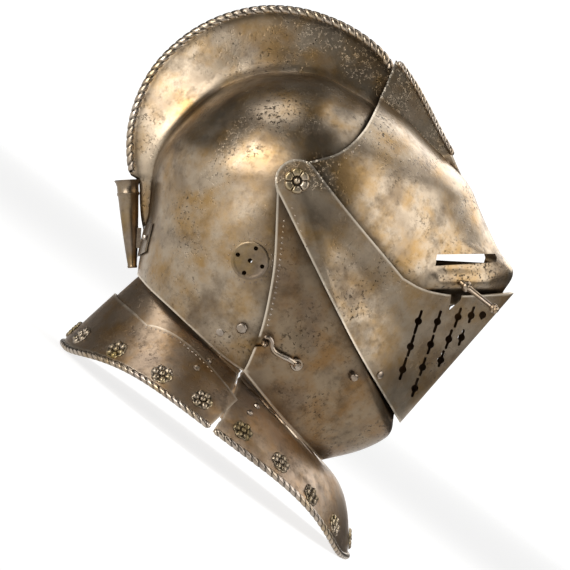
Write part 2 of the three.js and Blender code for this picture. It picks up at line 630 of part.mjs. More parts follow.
// Pivot bolts: a rosette outside the ventail, a shank through every plate and a nut inside
const OUTER_Y = SKULL_HALF_WIDTH + 3 * LAYER;
const NUT_Y = SKULL_HALF_WIDTH - SHEET - 2.1;
const shank = turned([
  [0, NUT_Y - 3 - OUTER_Y], [6, NUT_Y - 3 - OUTER_Y], [6, NUT_Y - OUTER_Y], [2.1, NUT_Y - OUTER_Y],
  [2.1, 1.2], [0, 1.2],
], 8);
const PIVOT = geometryOf(union(solid(rosette(9, 5, 4.2)), solid(shank)));
for (const [side, sign] of [['right', -1], ['left', 1]]) {
  const axis = new THREE.Vector3(0, sign, 0);
  addPiece(`pivot_${side}`, stand(PIVOT, new THREE.Vector3(0, sign * OUTER_Y, 0), axis, GAP), 'brass');
}

// Pierced ear discs
function earDisc() {
  let disc = solid(turned([[0, 0], [EAR.radius, 0], [EAR.radius, 1.6], [0, 1.6]], 14));
  const spots = [P(0, 0), ...ringOf(0, 0, EAR.ring, 4)];
  for (const { x, z } of spots) {
    const hole = turned([[0, -3], [EAR.hole, -3], [EAR.hole, 6], [0, 6]], 6);
    disc = disc.subtract(solid(hole.translate(x, 0, z)));
  }
  return geometryOf(disc);
}
for (const [side, sign] of [['right', -1], ['left', 1]]) {
  const { point, normal } = onPlate('skull', EAR.x, EAR.z, sign);
  addPiece(`ear_disc_${side}`, stand(earDisc().rotateY(rad(EAR.turn)), point, normal, GAP - 0.2), 'brass');
}

// Studs and rivets on the plates
const STUDS = table(['name', 'plate', 'x', 'z', 'radius', 'height'], [
  ['skull_stud', 'skull', -38.9, -103.7, 3, 2.6],
  ['catch_stud', 'skull', CATCH.x, CATCH.z, 2, 10],
  ['bevor_stud', 'bevor', 40.4, -138.4, 2.6, 4],
  ['ventail_rivet', 'ventail', 60.2, -138.2, 2.4, 1.2],
]);
for (const { name, plate, x, z, radius, height } of STUDS) {
  const { point, normal } = onPlate(plate, x, z, -1);
  addPiece(name, stand(rivetHead(radius, height), point, normal, GAP), 'rivet');
}

// Hook on the bevor: an eye round its rivet and an arm that drops over the catch stud
const HOOK_EYE = P(-0.6, -129.2);
const HOOK_LINE = [P(-0.6, -129.2), P(-5.4, -125.6), P(-11, -122.8), P(-15.4, -120), P(-17.4, -116.6),
  P(-17.6, -112.6), P(-19.4, -109.4), P(-23, -108.8)];
const hookPoints = HOOK_LINE.map(({ x, z }, i) => {
  const { point, normal } = onPlate('bevor', x, z, -1);
  return point.addScaledVector(normal, 3 + 0.36 * i);
});
const eyeSpot = onPlate('bevor', HOOK_EYE.x, HOOK_EYE.z, -1);
const eyeRing = turned([[0, 0], [4.6, 0], [4.6, 2.6], [0, 2.6]], 12);
const eye = solid(stand(eyeRing, eyeSpot.point, eyeSpot.normal, 1.2));
const eyeBore = turned([[0, -3], [1.7, -3], [1.7, 9], [0, 9]], 8);
const eyeHole = solid(stand(eyeBore, eyeSpot.point, eyeSpot.normal, 0));
const hookArm = solid(bar(hookPoints, (t) => mix(1.9, 1.3, t), 6));
addPiece('hook', geometryOf(union(eye, hookArm).subtract(eyeHole)), 'rivet');
const hookRivet = turned([[0, GAP], [1.3, GAP], [1.3, 5.4], [2.8, 5.4], [2.2, 6.6], [0, 7]], 8);
addPiece('hook_rivet', stand(hookRivet, eyeSpot.point, eyeSpot.normal, 0), 'rivet');

// Lifting peg of the visor, standing out through the ventail's notch
const PEG = { x: 120.5, z: -72, tip: new THREE.Vector3(144.4, -54, -91.8) };
const pegSpot = onPlate('visor', PEG.x, PEG.z, -1);
const pegAxis = PEG.tip.clone().sub(pegSpot.point);
const pegLong = pegAxis.length();
const peg = turned([
  [0, 0], [3.4, 0], [3.4, 2], [2.2, 2.4], [1.9, pegLong - 5], [3.1, pegLong - 3.5], [2.6, pegLong - 0.8],
  [0, pegLong],
], 8);
addPiece('lifting_peg', stand(peg, pegSpot.point, pegAxis.clone().normalize(), 1.2), 'rivet');

// Plume holder behind the comb: a tapering socket on a strap round the back of the skull
const PLUME = { mouth: P(-125, 4.4), foot: P(-121.3, -60.7), bore: 6.2, depth: 42 };
const plumeAxis = new THREE.Vector3(PLUME.mouth.x - PLUME.foot.x, 0, PLUME.mouth.z - PLUME.foot.z);
const reach = plumeAxis.length();
const socket = turned([
  [0, 0], [3.2, 0], [4.4, 12], [7, 36], [8, reach - 9], [8.8, reach - 8], [8.4, reach - 5], [10, reach],
  [8.6, reach], [PLUME.bore, reach - 8], [5.2, reach - PLUME.depth], [0, reach - PLUME.depth],
], 12);
const STRAP = { low: 204, high: 195, half: 33 };
function strapPoint(u, v, lift) {
  const angle = mix(STRAP.low, STRAP.high, v);
  const y = mix(-STRAP.half, STRAP.half, u);
  const at = (a, w) => {
    const { x, z } = onRay(a, read(BOWL, 'radius', a) * Math.sqrt(1 - (w / SKULL_HALF_WIDTH) ** 2));
    return new THREE.Vector3(x, w, z);
  };
  const across = at(angle, y + 0.5).sub(at(angle, y - 0.5));
  const down = at(angle + 0.5, y).sub(at(angle - 0.5, y));
  return at(angle, y).addScaledVector(across.cross(down).normalize(), lift);
}
const strap = gridShell((u, v, lift) => strapPoint(1 - u, v, lift), 10, 2, 2.2, 0.7);
const web = crossPrism([P(-123.2, -31), P(-122.4, -46), P(-115.4, -46), P(-114.7, -31)], -3, 3);
const plumeFoot = new THREE.Vector3(PLUME.foot.x, 0, PLUME.foot.z);
const plume = stand(socket, plumeFoot, plumeAxis.clone().normalize(), 0);
addPiece('plume_holder', geometryOf(union(solid(plume), solid(strap), solid(web))), 'plate');
for (const [side, sign] of [['right', 0.08], ['left', 0.92]]) {
  const point = strapPoint(sign, 0.5, 2.2);
  const normal = strapPoint(sign, 0.5, 3.2).sub(point);
  addPiece(`plume_rivet_${side}`, stand(rivetHead(2.4, 1.5), point, normal.normalize(), GAP), 'rivet');
}

// Onto the table: lean back about the pivot axis, then set the rim's lowest flats at height 0
head.rotation.y = -rad(REST_LEAN);
head.updateMatrixWorld(true);
const box = new THREE.Box3().setFromObject(head, true);
head.position.set(-(box.min.x + box.max.x) / 2, 0, -box.min.z);
const helmet = new THREE.Group();
helmet.add(head);
export default helmet;
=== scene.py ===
import json
import math

import bpy
import numpy as np
from mathutils import Matrix, Vector


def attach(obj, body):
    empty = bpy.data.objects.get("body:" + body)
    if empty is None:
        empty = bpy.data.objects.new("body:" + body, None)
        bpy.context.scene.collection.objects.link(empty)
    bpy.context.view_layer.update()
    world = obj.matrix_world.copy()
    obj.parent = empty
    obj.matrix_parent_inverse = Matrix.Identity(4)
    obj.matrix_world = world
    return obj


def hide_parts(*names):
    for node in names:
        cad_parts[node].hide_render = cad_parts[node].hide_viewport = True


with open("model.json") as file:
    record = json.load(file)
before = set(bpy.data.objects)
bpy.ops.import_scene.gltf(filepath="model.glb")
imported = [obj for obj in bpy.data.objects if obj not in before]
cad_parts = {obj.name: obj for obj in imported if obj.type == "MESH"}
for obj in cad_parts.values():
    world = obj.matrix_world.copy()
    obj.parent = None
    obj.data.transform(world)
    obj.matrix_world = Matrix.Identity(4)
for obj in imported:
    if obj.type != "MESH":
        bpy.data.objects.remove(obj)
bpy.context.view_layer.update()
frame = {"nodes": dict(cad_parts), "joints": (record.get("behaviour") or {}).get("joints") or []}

# Sizes in millimetres, in the head frame: X forward, Y to the wearer's left, Z up, origin on the pivot axis
LEAN = math.radians(37.0)
SHEET = 1.4
LAYER = 2.6
SKULL_HALF_WIDTH = 97.0
TAB_RADIUS = 15.5
BACK_TIP = (-173.5, -114.0)
RIM_LENGTH, RIM_HALF_WIDTH, RIM_ARCH, RIM_FLAT_SHARE = 268.0, 116.0, 21.0, 0.28
NECK_START, NECK_LENGTH, NECK_HALF_WIDTH = 14.0, 192.0, 70.0
NECK_FRONT_HEIGHT, NECK_BACK_HEIGHT = 46.6, 73.6
FRONT_TUCK, REAR_TUCK, LAME_TUCK = 3.2, 1.0, 3.2
COMB_CORD, RIM_CORD, SLOT_CORD = 3.6, 2.4, 2.3
RIM_STAND = 2.7
COMB_PITCH, KEEL_PITCH, RIM_PITCH = 6.6, 5.4, 6.0
ROPE_STRANDS, ROPE_SIDES, ROPE_DEPTH, ROPE_STEPS = 2, 24, 0.2, 16
# How far a profile and the comb's crest draw in for each millimetre of inset
RADIUS_INSET, COMB_INSET = 1.2, 3.0
SMOOTH_ANGLE = 40.0
WHOLE_WIDTH = (-130, 130)
SIDES = (("right", -1), ("left", 1))

PIVOT = np.array([j for j in frame["joints"] if j["name"] == "bevor_lift"][0]["pos_m"])
TURN = np.array([[math.cos(LEAN), 0, -math.sin(LEAN)], [0, 1, 0], [math.sin(LEAN), 0, math.cos(LEAN)]])


def to_row(points):
    """Head-frame millimetres to row-frame metres: the lean about the pivot axis, then the pivot's place."""
    return np.asarray(points, float) @ TURN.T / 1000 + PIVOT


def table(names, rows):
    """Short table as a dictionary of columns."""
    return dict(zip(names, np.array(rows, float).T))


def cubic(rows, column, at):
    """Cubic through a table's column against its first column, flat beyond both ends."""
    x, v = rows["angle"], rows[column]
    slope = np.concatenate([[(v[1] - v[0]) / (x[1] - x[0])], (v[2:] - v[:-2]) / (x[2:] - x[:-2]),
                            [(v[-1] - v[-2]) / (x[-1] - x[-2])]])
    at = np.clip(at, x[0], x[-1])
    i = np.clip(np.searchsorted(x, at, side="right") - 1, 0, len(x) - 2)
    h = x[i + 1] - x[i]
    t = (at - x[i]) / h
    rise = v[i] * (1 + 2 * t) * (1 - t) ** 2 + v[i + 1] * t * t * (3 - 2 * t)
    return rise + h * (slope[i] * t * (1 - t) ** 2 - slope[i + 1] * t * t * (1 - t))


def mix(a, b, t):
    """Straight blend from a at 0 to b at 1."""
    return a + (b - a) * t


def unit(vectors):
    """Vectors brought to length 1."""
    return vectors / np.linalg.norm(vectors, axis=-1)[..., None]


def along(path):
    """Distance run along a path at each of its points."""
    return np.concatenate([[0], np.cumsum(np.linalg.norm(np.diff(path, axis=0), axis=1))])


def circle(sides):
    """Even directions round a circle."""
    return np.linspace(0, 2 * np.pi, sides + 1)[:-1]


def ease(v):
    """Smooth step from 0 to 1."""
    v = np.clip(v, 0, 1)
    return v * v * (3 - 2 * v)


def smooth_max(a, b, k):
    """The larger of two, with a fillet k wide where they cross."""
    return np.maximum(a, b) + np.maximum(k - np.abs(a - b), 0) ** 2 / (4 * k)


def polar(x, z, start):
    """Distance from the pivot axis and direction in degrees, counted up from start."""
    angle = np.degrees(np.arctan2(z, x))
    return np.hypot(x, z), np.where(angle < start, angle + 360, angle)


def on_ray(angle, r):
    """Point in the side view at a direction in degrees and a distance from the pivot axis."""
    return np.stack([r * np.cos(np.radians(angle)), r * np.sin(np.radians(angle))], -1)


# Radii from the pivot axis by direction, in degrees up from straight ahead
BOWL = table(("angle", "radius"), [
    (-90, 203), (-60, 150), (-30, 128), (0, 90), (20, 85), (46, 82), (60, 80.5), (73, 82.4), (87, 83.4),
    (101, 84.8), (120, 88.8), (134, 91.8), (149, 96.4), (161, 102), (171, 105.4), (178, 106.4), (184, 107.6),
    (191, 111), (196, 115.6), (200, 120.6), (209, 134.5), (225, 165), (240, 188), (255, 203), (270, 203)])
COMB_FROM, COMB_TO = 15.0, 198.0
COMB = table(("angle", "radius"), [
    (14, 98), (20, 102), (30, 105), (40, 106), (46, 107.5), (51, 113.5), (55, 117), (60, 119.5), (70, 123.5),
    (80, 127.3), (90, 131.3), (100, 134.6), (110, 136.6), (120, 137.8), (130, 138), (140, 137.4), (150, 135),
    (160, 131.5), (170, 126.5), (174, 124.2), (176.4, 122.6), (177.4, 118.4), (178.4, 116.6), (181, 116),
    (187, 116.6), (192, 117.4), (198, 118)])
CHIN = table(("angle", "radius", "sharpness"), [
    (-112, 212, 0), (-100, 212, 0), (-92, 210, 0.05), (-85, 203.7, 0.2), (-76, 201, 0.4), (-70.5, 197.7, 0.5),
    (-68.6, 193.5, 0.56), (-66.5, 182.5, 0.62), (-63, 177.5, 0.74), (-60, 175.5, 0.8), (-52, 171, 0.93),
    (-30, 168, 0.95), (0, 150, 0.8)])
VISOR = table(("angle", "radius", "sharpness"), [
    (-60, 176, 0.93), (-50, 172, 0.95), (-36, 170.5, 0.95), (-27, 172, 0.95), (-21.4, 172.2, 0.93),
    (-18, 158.4, 0.9), (-14, 148.4, 0.85), (-10, 140.8, 0.8), (-6, 135, 0.74), (-2, 130.6, 0.66),
    (2, 125, 0.56), (6, 118, 0.42), (12, 109, 0.22), (20, 101, 0.08), (30, 95, 0), (40, 90.5, 0), (52, 88, 0)])
KEEL = table(("angle", "radius"), [
    (0, 126), (6, 120.5), (10, 117.9), (18, 113.6), (26, 112), (34, 112.6), (42, 114.9), (52, 118.4)])
KEEL_SLOT_END, KEEL_SLOT_HALF = 4.0, 7.2
RIDGE_TOP, RIDGE_FOOT = (161.0, -79.4), (76.7, -175.4)
VENT = table(("angle", "sharpness"), [(-72, 0.45), (-66, 0.62), (-60, 0.8), (-52, 0.93), (-30, 0.95)])


def half_width(width, r, radius, sharpness):
    """Half width of a plate at r from the pivot: width times the root of (1 - q)(1 - sharpness q), where q is
    r / radius squared."""
    q = np.minimum(1, r / radius) ** 2
    return width * np.sqrt(np.maximum(0, (1 - q) * (1 - sharpness * q)))


class Skull:
    """Bowl and comb. The crest is CREST_HALF thick to each side and rounded over CREST_ROUND; below it the
    comb's sides widen by FRONT_TAPER to REAR_TAPER for each millimetre."""
    start = -90
    CREST_HALF, CREST_ROUND, FLARE, FLARE_RUN, FILLET = 1.9, 3, 3.2, 4, 3
    FRONT_TAPER, REAR_TAPER, TAPER_FROM, TAPER_RUN = 0.09, 0.16, 112, 30

    @staticmethod
    def crease(angle, inset):
        """Radius of the bowl, where the comb stands up out of it."""
        return cubic(BOWL, "radius", angle) - RADIUS_INSET * inset

    @staticmethod
    def crest(angle, inset):
        """Radius of the comb's crest, or 0 where there is no comb."""
        crest = cubic(COMB, "radius", angle) - COMB_INSET * inset
        return np.where((angle > COMB_FROM) & (angle < COMB_TO), crest, 0)

    @classmethod
    def radius(cls, angle, inset):
        """Profile of the bowl or of the comb, whichever is larger."""
        return np.maximum(cls.crease(angle, inset), cls.crest(angle, inset))

    @classmethod
    def y(cls, x, z, inset):
        """Round bowl with a comb whose sides taper to its crest and flare into the bowl."""
        r, angle = polar(x, z, cls.start)
        bowl_radius, crest = cls.crease(angle, inset), cls.crest(angle, inset)
        bowl = half_width(SKULL_HALF_WIDTH - inset, r, bowl_radius, 0)
        flare = cls.FLARE * np.exp(-np.maximum(0, r - bowl_radius) / cls.FLARE_RUN)
        crown = np.sqrt(1 - np.clip(1 - (crest - r) / cls.CREST_ROUND, 0, 1) ** 2)
        taper = mix(cls.FRONT_TAPER, cls.REAR_TAPER, ease((angle - cls.TAPER_FROM) / cls.TAPER_RUN))
        fin = (cls.CREST_HALF + taper * np.maximum(crest - r, 0) + flare - inset) * crown
        return np.where((crest > bowl_radius) & (r < crest), smooth_max(bowl, fin, cls.FILLET), bowl)


class Plate:
    """Plate some layers outside the skull; its half width follows its radius and sharpness by direction."""
    start = -180

    @classmethod
    def y(cls, x, z, inset):
        r, angle = polar(x, z, cls.start)
        width = SKULL_HALF_WIDTH + cls.layers * LAYER - inset
        return half_width(width, r, cls.radius(angle, inset), cubic(cls.rows, "sharpness", angle))


class Bevor(Plate):
    """Chin plate."""
    layers, rows = 1, CHIN

    @staticmethod
    def radius(angle, inset):
        """Profile of the chin."""
        return cubic(CHIN, "radius", angle) - RADIUS_INSET * inset


# The ledge's rise by height; the first column is named angle for cubic()
LEDGE = table(("angle", "rise"), [
    (-90, -8), (-82, -6), (-78.4, -2.4), (-76.2, 3), (-74, 5.6), (-71, 6.6), (-67, 5.2), (-60, 0), (-58, 0)])
LEDGE_REAR, LEDGE_RUN = 93.0, 11.0


def sight_ledge(x, z):
    """The step under the sights, by height, easing in from behind; its foot tucks in behind the ventail."""
    return cubic(LEDGE, "rise", z) * ease((x - LEDGE_REAR) / LEDGE_RUN)


class Visor:
    """Face plate, two layers outside the skull. Its radius is evened out over EVEN_SPAN degrees to each side
    up to the share PROFILE_FROM of the way to its profile; below its edge the keel widens by KEEL_TAPER."""
    start = -180
    EVEN_SPAN, EVEN_SAMPLES, PROFILE_FROM, LEDGE_FADE = 24, 13, 0.55, 14
    KEEL_TAPER, KEEL_OPENING, KEEL_FILLET = 0.26, 8, 8

    @staticmethod
    def radius(angle, inset):
        """Profile of the face, and of the keel above the slot's end."""
        shell = cubic(VISOR, "radius", angle) - RADIUS_INSET * inset
        return np.where(angle < KEEL_SLOT_END, shell, np.maximum(shell, cubic(KEEL, "radius", angle)))

    @classmethod
    def y(cls, x, z, inset):
        """Pointed face with a ledge under the sights and a hollow keel that opens upwards round the comb."""
        r, angle = polar(x, z, cls.start)
        radius = cubic(VISOR, "radius", angle) - RADIUS_INSET * inset
        around = angle[..., None] + np.linspace(-cls.EVEN_SPAN, cls.EVEN_SPAN, cls.EVEN_SAMPLES)
        eased = cubic(VISOR, "radius", around).mean(-1) - RADIUS_INSET * inset
        eased = mix(eased, radius, ease((r / radius - cls.PROFILE_FROM) / (1 - cls.PROFILE_FROM)))
        sharpness = cubic(VISOR, "sharpness", around).mean(-1)
        shell = half_width(SKULL_HALF_WIDTH + 2 * LAYER - inset, r, eased, sharpness)
        ledge = sight_ledge(x, z) * np.clip((radius - r) / cls.LEDGE_FADE, 0, 1)
        crest = cubic(KEEL, "radius", angle)
        opened = ease((angle - KEEL_SLOT_END) / cls.KEEL_OPENING)
        wall = (KEEL_SLOT_HALF + cls.KEEL_TAPER * (crest - r) - inset) * opened
        keel = smooth_max(shell, wall, cls.KEEL_FILLET * opened + 0.01)
        return np.where((angle < KEEL_SLOT_END) | (r > crest + 1), shell + ledge, keel)


class Ventail(Plate):
    """Plate with the breaths."""
    layers, rows = 3, VENT

    @staticmethod
    def radius(angle, inset):
        """Where a ray from the pivot meets the straight front ridge."""
        angle = np.radians(np.clip(angle, -80, -20))
        (tx, tz), (bx, bz) = RIDGE_TOP, RIDGE_FOOT
        ridge = (tx * bz - tz * bx) / (np.cos(angle) * (bz - tz) - np.sin(angle) * (bx - tx))
        return ridge - RADIUS_INSET * inset


def stroke(points, step=2.2, grade=(1.0, 1.0)):
    """Smooth curve through corners in the side view, sampled closer towards an end whose grade is above 1."""
    points = np.array(points, float)
    run = along(points)
    n = max(3, int(run[-1] / step))
    u = np.linspace(0, 1, n + 1) ** grade[0]
    u = 1 - (1 - u) ** grade[1]
    rows = {"angle": run, "x": points[:, 0], "z": points[:, 1]}
    return np.stack([cubic(rows, "x", u * run[-1]), cubic(rows, "z", u * run[-1])], -1)


def tab(start, end):
    """Round end of a plate about the pivot, between two directions."""
    return on_ray(np.linspace(start, end, 40), TAB_RADIUS)


def object_from(name, points, faces, smooth_angle=SMOOTH_ANGLE, attributes=None):
    """Mesh object from head-frame points and faces, at the origin of the row frame."""
    mesh = bpy.data.meshes.new(name)
    mesh.from_pydata(to_row(points), [], faces)
    mesh.polygons.foreach_set("use_smooth", np.ones(len(mesh.polygons), bool))
    for key, values in (attributes or {}).items():
        mesh.attributes.new(key, "FLOAT", "POINT").data.foreach_set("value", np.asarray(values, np.float32))
    mesh.set_sharp_from_angle(angle=math.radians(smooth_angle))
    mesh.update()
    made = bpy.data.objects.new(name, mesh)
    bpy.context.scene.collection.objects.link(made)
    return made


def join_parts(parts):
    """Points and faces of several parts as one."""
    base = np.cumsum([0] + [len(part[0]) for part in parts]).tolist()
    faces = [[i + first for i in face] for part, first in zip(parts, base) for face in part[1]]
    return np.concatenate([part[0] for part in parts]), faces


def quads_of(index):
    """Quads of a grid of vertex numbers."""
    return np.stack([index[:-1, :-1], index[:-1, 1:], index[1:, 1:], index[1:, :-1]], -1).reshape(-1, 4)


# Reach of the painted shadow laid beside the edge of a lapping plate
PAINTED_SHADOW_REACH = 3.4
# Edge brightening: wear together with a painted highlight along the plates' edges
EDGE_WEAR_HIGHLIGHT_FULL, EDGE_WEAR_HIGHLIGHT_END = 0.8, 1.9
CREASE_RANGE, CREASE_KNEE, CREASE_SAMPLES = (0.4, 0.94), 0.8, 500
RIM_PARTS = (0, 0.25, 0.5, 0.75)
BORDER_CROWDING = 1.9


def crease_shares(form, centre, edge, is_middle, share, inset):
    """Shares of the way to the border, moved along each ray so that one ring of points runs along the form's
    crease."""
    if not hasattr(form, "crease"):
        return np.repeat(share, len(edge), 1)
    fine = np.linspace(*CREASE_RANGE, CREASE_SAMPLES)
    ray = centre + fine[:, None, None] * (edge - centre)
    r, angle = polar(ray[..., 0], ray[..., 1], form.start)
    crossed = fine[np.clip((r < form.crease(angle, inset)).sum(0), 0, len(fine) - 1)]
    at = np.where(is_middle, crossed, CREASE_KNEE)
    knee = share[np.searchsorted(share[:, 0], CREASE_KNEE)]
    return np.where(share <= knee, share / knee * at, at + (share - knee) / (1 - knee) * (1 - at))


def nearest(points, marks):
    """Distance from each point to the nearest mark, a batch of points at a time."""
    marks = marks.astype(np.float32)
    square = (marks ** 2).sum(-1)

    def batch(part):
        gaps = (part ** 2).sum(-1)[:, None] + square - 2 * part @ marks.T
        return np.sqrt(np.maximum(gaps.min(1), 0))

    return np.concatenate([batch(part) for part in np.array_split(points.astype(np.float32), 40)])


def edge_wear_and_highlight(near):
    """Full wear and painted highlight close to an edge, fading out further off."""
    return np.clip((EDGE_WEAR_HIGHLIGHT_END - near) / (EDGE_WEAR_HIGHLIGHT_END - EDGE_WEAR_HIGHLIGHT_FULL), 0, 1)


def fan_plate(name, form, centre, middle, strokes, rings=46, crest=None, laps=()):
    """Thin plate as a fan: shares of the way from a centre to its border in the side view, lifted to the
    form's half width on both sides and both faces, with the open border closed between the faces. Its own
    border is marked as worn and with a painted highlight, and a painted shadow is laid beside the lines in
    laps, where another plate's edge lies on it."""
    centre = np.array(centre, float)
    angles = np.linspace(*middle)
    free = np.concatenate([s[:-1] if i else s[1:-1] for i, s in enumerate(strokes)])
    crest_angles = np.linspace(*crest)[1:] if crest else np.zeros(0)
    is_middle = np.concatenate([np.ones(len(angles), bool), np.zeros(len(crest_angles) + len(free), bool)])

    def border(inset):
        ridge = on_ray(angles, form.radius(angles, inset))
        slot = on_ray(crest_angles, form.radius(crest_angles, inset)) if crest else np.zeros((0, 2))
        r, a = polar(free[:, 0], free[:, 1], form.start)
        full = form.radius(a, 0)
        drawn = on_ray(a, r - (full - form.radius(a, inset)) * np.minimum(1, r / full) ** 4)
        return np.concatenate([ridge, slot, drawn])

    n = len(is_middle)
    share = 1 - (1 - np.linspace(0, 1, rings + 1)[1:, None]) ** BORDER_CROWDING
    points, faces, sheets = [], [], {}
    base = 0
    for inset in (0.0, SHEET):
        edge = border(inset)
        shares = crease_shares(form, centre, edge, is_middle, share, inset)
        flat = centre + shares[..., None] * (edge - centre)
        y = form.y(flat[..., 0], flat[..., 1], inset)
        y[-1, is_middle] = 0
        y0 = float(form.y(centre[:1], centre[1:], inset)[0])
        for side in (-1, 1):
            ring = np.stack([flat[..., 0], side * y, flat[..., 1]], -1).reshape(-1, 3)
            points.append(np.vstack([[[centre[0], side * y0, centre[1]]], ring]))
            index = base + 1 + np.arange(rings * n).reshape(rings, n)
            index = np.hstack([index, index[:, :1]])
            flip = (inset > 0) != (side > 0)
            quad = quads_of(index)
            tri = np.stack([np.full(n, base), index[0, :-1], index[0, 1:]], -1)
            faces += (quad if flip else quad[:, ::-1]).tolist()
            faces += (tri[:, ::-1] if flip else tri).tolist()
            sheets[inset > 0, side] = index[-1]
            base += 1 + rings * n
    open_edge = ~(is_middle & np.roll(is_middle, -1))
    for side in (-1, 1):
        o, i = sheets[False, side], sheets[True, side]
        wall = np.stack([o[:-1], i[:-1], i[1:], o[1:]], -1)[open_edge]
        faces += (wall if side < 0 else wall[:, ::-1]).tolist()
    points = np.concatenate(points)
    rims = [points[sheets[False, side][:-1][~is_middle]] for side in (-1, 1)]
    near = nearest(points, np.concatenate([mix(rim[:-1], rim[1:], t) for rim in rims for t in RIM_PARTS]))
    same = np.arange(len(points))
    for inside in (False, True):
        same[sheets[inside, 1][:-1][is_middle]] = sheets[inside, -1][:-1][is_middle]
    kept, same = np.unique(same, return_inverse=True)
    points, near = points[kept], near[kept]
    # Edges are lightened partly by wear and partly as a painted highlight
    marks = {"edge_wear_and_highlight": edge_wear_and_highlight(near)}
    # Painted shadow on this plate beside the edges of the plates that lie on it
    if laps:
        marks["painted_lap_shadow"] = np.exp(-nearest(points[:, ::2], np.concatenate(laps)) / PAINTED_SHADOW_REACH)
    return object_from(name, points, [same[f].tolist() for f in faces], attributes=marks)


def skin(rings, turned=False):
    """Points and faces of a stack of rings with both ends closed; turned if the rings run clockwise."""
    index = np.arange(rings.shape[0] * rings.shape[1]).reshape(rings.shape[:2])
    faces = quads_of(np.hstack([index, index[:, :1]])).tolist()
    faces += [index[0, ::-1].tolist(), index[-1].tolist()]
    return rings.reshape(-1, 3), [face[::-1] for face in faces] if turned else faces


def rings_along(centres, across, aside, radius, sides):
    """Rings round each centre, from two directions across the path and a radius."""
    a = circle(sides)
    spoke = np.cos(a)[None, :, None] * across[:, None] + np.sin(a)[None, :, None] * aside[:, None]
    return centres[:, None] + radius[..., None] * spoke


def rope(path, radius, up, pitch):
    """Corded bead: a round bar along a path whose radius dips along slanting grooves, one each pitch, and
    tapers at both ends."""
    path = np.asarray(path, float)
    run = along(path)
    at = np.linspace(0, run[-1], int(run[-1] / pitch * ROPE_STEPS) + 1)
    p = np.stack([np.interp(at, run, path[:, k]) for k in range(3)], -1)
    t = unit(np.gradient(p, axis=0))
    up = np.broadcast_to(np.asarray(up, float), p.shape)
    rise = unit(up - (up * t).sum(-1)[:, None] * t)
    phase = at[:, None] / pitch + ROPE_STRANDS * circle(ROPE_SIDES)[None] / (2 * np.pi)
    groove = (0.5 + 0.5 * np.cos(2 * np.pi * phase)) ** 5
    taper = np.minimum(1, np.sqrt(np.minimum(at, run[-1] - at) / radius + 0.05))[:, None]
    r = radius * (1 - ROPE_DEPTH * groove) * taper
    return *skin(rings_along(p, rise, np.cross(rise, t), r, ROPE_SIDES), turned=True), groove.reshape(-1)


def grid_plate(place, across, down, outer, inner):
    """Closed thin sheet over a grid of place(u, v, lift), between two lifts along the surface's normal."""
    u, v = np.meshgrid(np.linspace(0, 1, across + 1), np.linspace(0, 1, down + 1))
    top, under = place(u, v, outer), place(u, v, inner)
    a = np.arange(u.size).reshape(u.shape)
    b = a + u.size
    loop = np.concatenate([a[0, :-1], a[:-1, -1], a[-1, :0:-1], a[:0:-1, 0]])
    wall = np.stack([loop, np.roll(loop, -1), np.roll(loop, -1) + u.size, loop + u.size], -1)
    faces = np.concatenate([quads_of(a), quads_of(b)[:, ::-1], wall[:, ::-1]])
    points = np.concatenate([top.reshape(-1, 3), under.reshape(-1, 3)])
    rim = points[loop]
    rim = np.concatenate([mix(rim, np.roll(rim, -1, 0), t) for t in RIM_PARTS])
    return points, faces.tolist(), edge_wear_and_highlight(nearest(points, rim))


def lathe(profile, sides):
    """Piece turned about its own Z axis from (radius, height) pairs, anticlockwise, both ends closed."""
    profile, a = np.array(profile, float), circle(sides)
    height = np.repeat(profile[:, 1:], sides, 1)
    return skin(np.stack([profile[:, :1] * np.cos(a), profile[:, :1] * np.sin(a), height], -1))


def stand(shape, places, normals, lift=0.0):
    """Copies of a small shape, its Z axis along each normal."""
    points, faces = shape[:2]
    places, normals = np.atleast_2d(np.asarray(places, float)), np.atleast_2d(np.asarray(normals, float))
    helper = np.where(np.abs(normals[:, 2:3]) < 0.9, [[0.0, 0.0, 1.0]], [[1.0, 0.0, 0.0]])
    one = unit(np.cross(helper, normals))
    axes = np.stack([one, np.cross(normals, one), normals], 1)
    copies = [[i + k * len(points) for i in face] for k in range(len(places)) for face in faces]
    return ((places + lift * normals)[:, None] + points @ axes).reshape(-1, 3), copies


def on_plate(form, x, z, side):
    """Points and outward normals on a plate's outer face, from the slope of its half width over 1 mm."""
    x, z = np.atleast_1d(np.asarray(x, float)), np.atleast_1d(np.asarray(z, float))
    fx = form.y(x + 0.5, z, 0.0) - form.y(x - 0.5, z, 0.0)
    fz = form.y(x, z + 0.5, 0.0) - form.y(x, z - 0.5, 0.0)
    places = np.stack([x, side * form.y(x, z, 0.0), z], -1)
    return places, unit(np.stack([-fx, np.full_like(x, side), -fz], -1))


SPREAD_FRONT, SPREAD_SIDE, SPREAD_REAR, SPREAD_ABOVE = 0.44, 0.9, 0.95, 0.25
NECK_SIDE_RISE = 3.0
SPLIT_NECK, SPLIT_RIM, SPLIT_GAP = 84.0, 93.0, 0.7
PLATE_TOP, PLATE_FOOT, LAME_FOOT = -0.12, 0.97, 0.42
CUSP_OFF, LOBE_END = 48.0, 96.0
LOBE_TOP, CUSP_DROP, SIDE_LOBE = 0.3, 0.375, 0.16
RIM_UP = np.array([math.sin(LEAN), 0, math.cos(LEAN)])


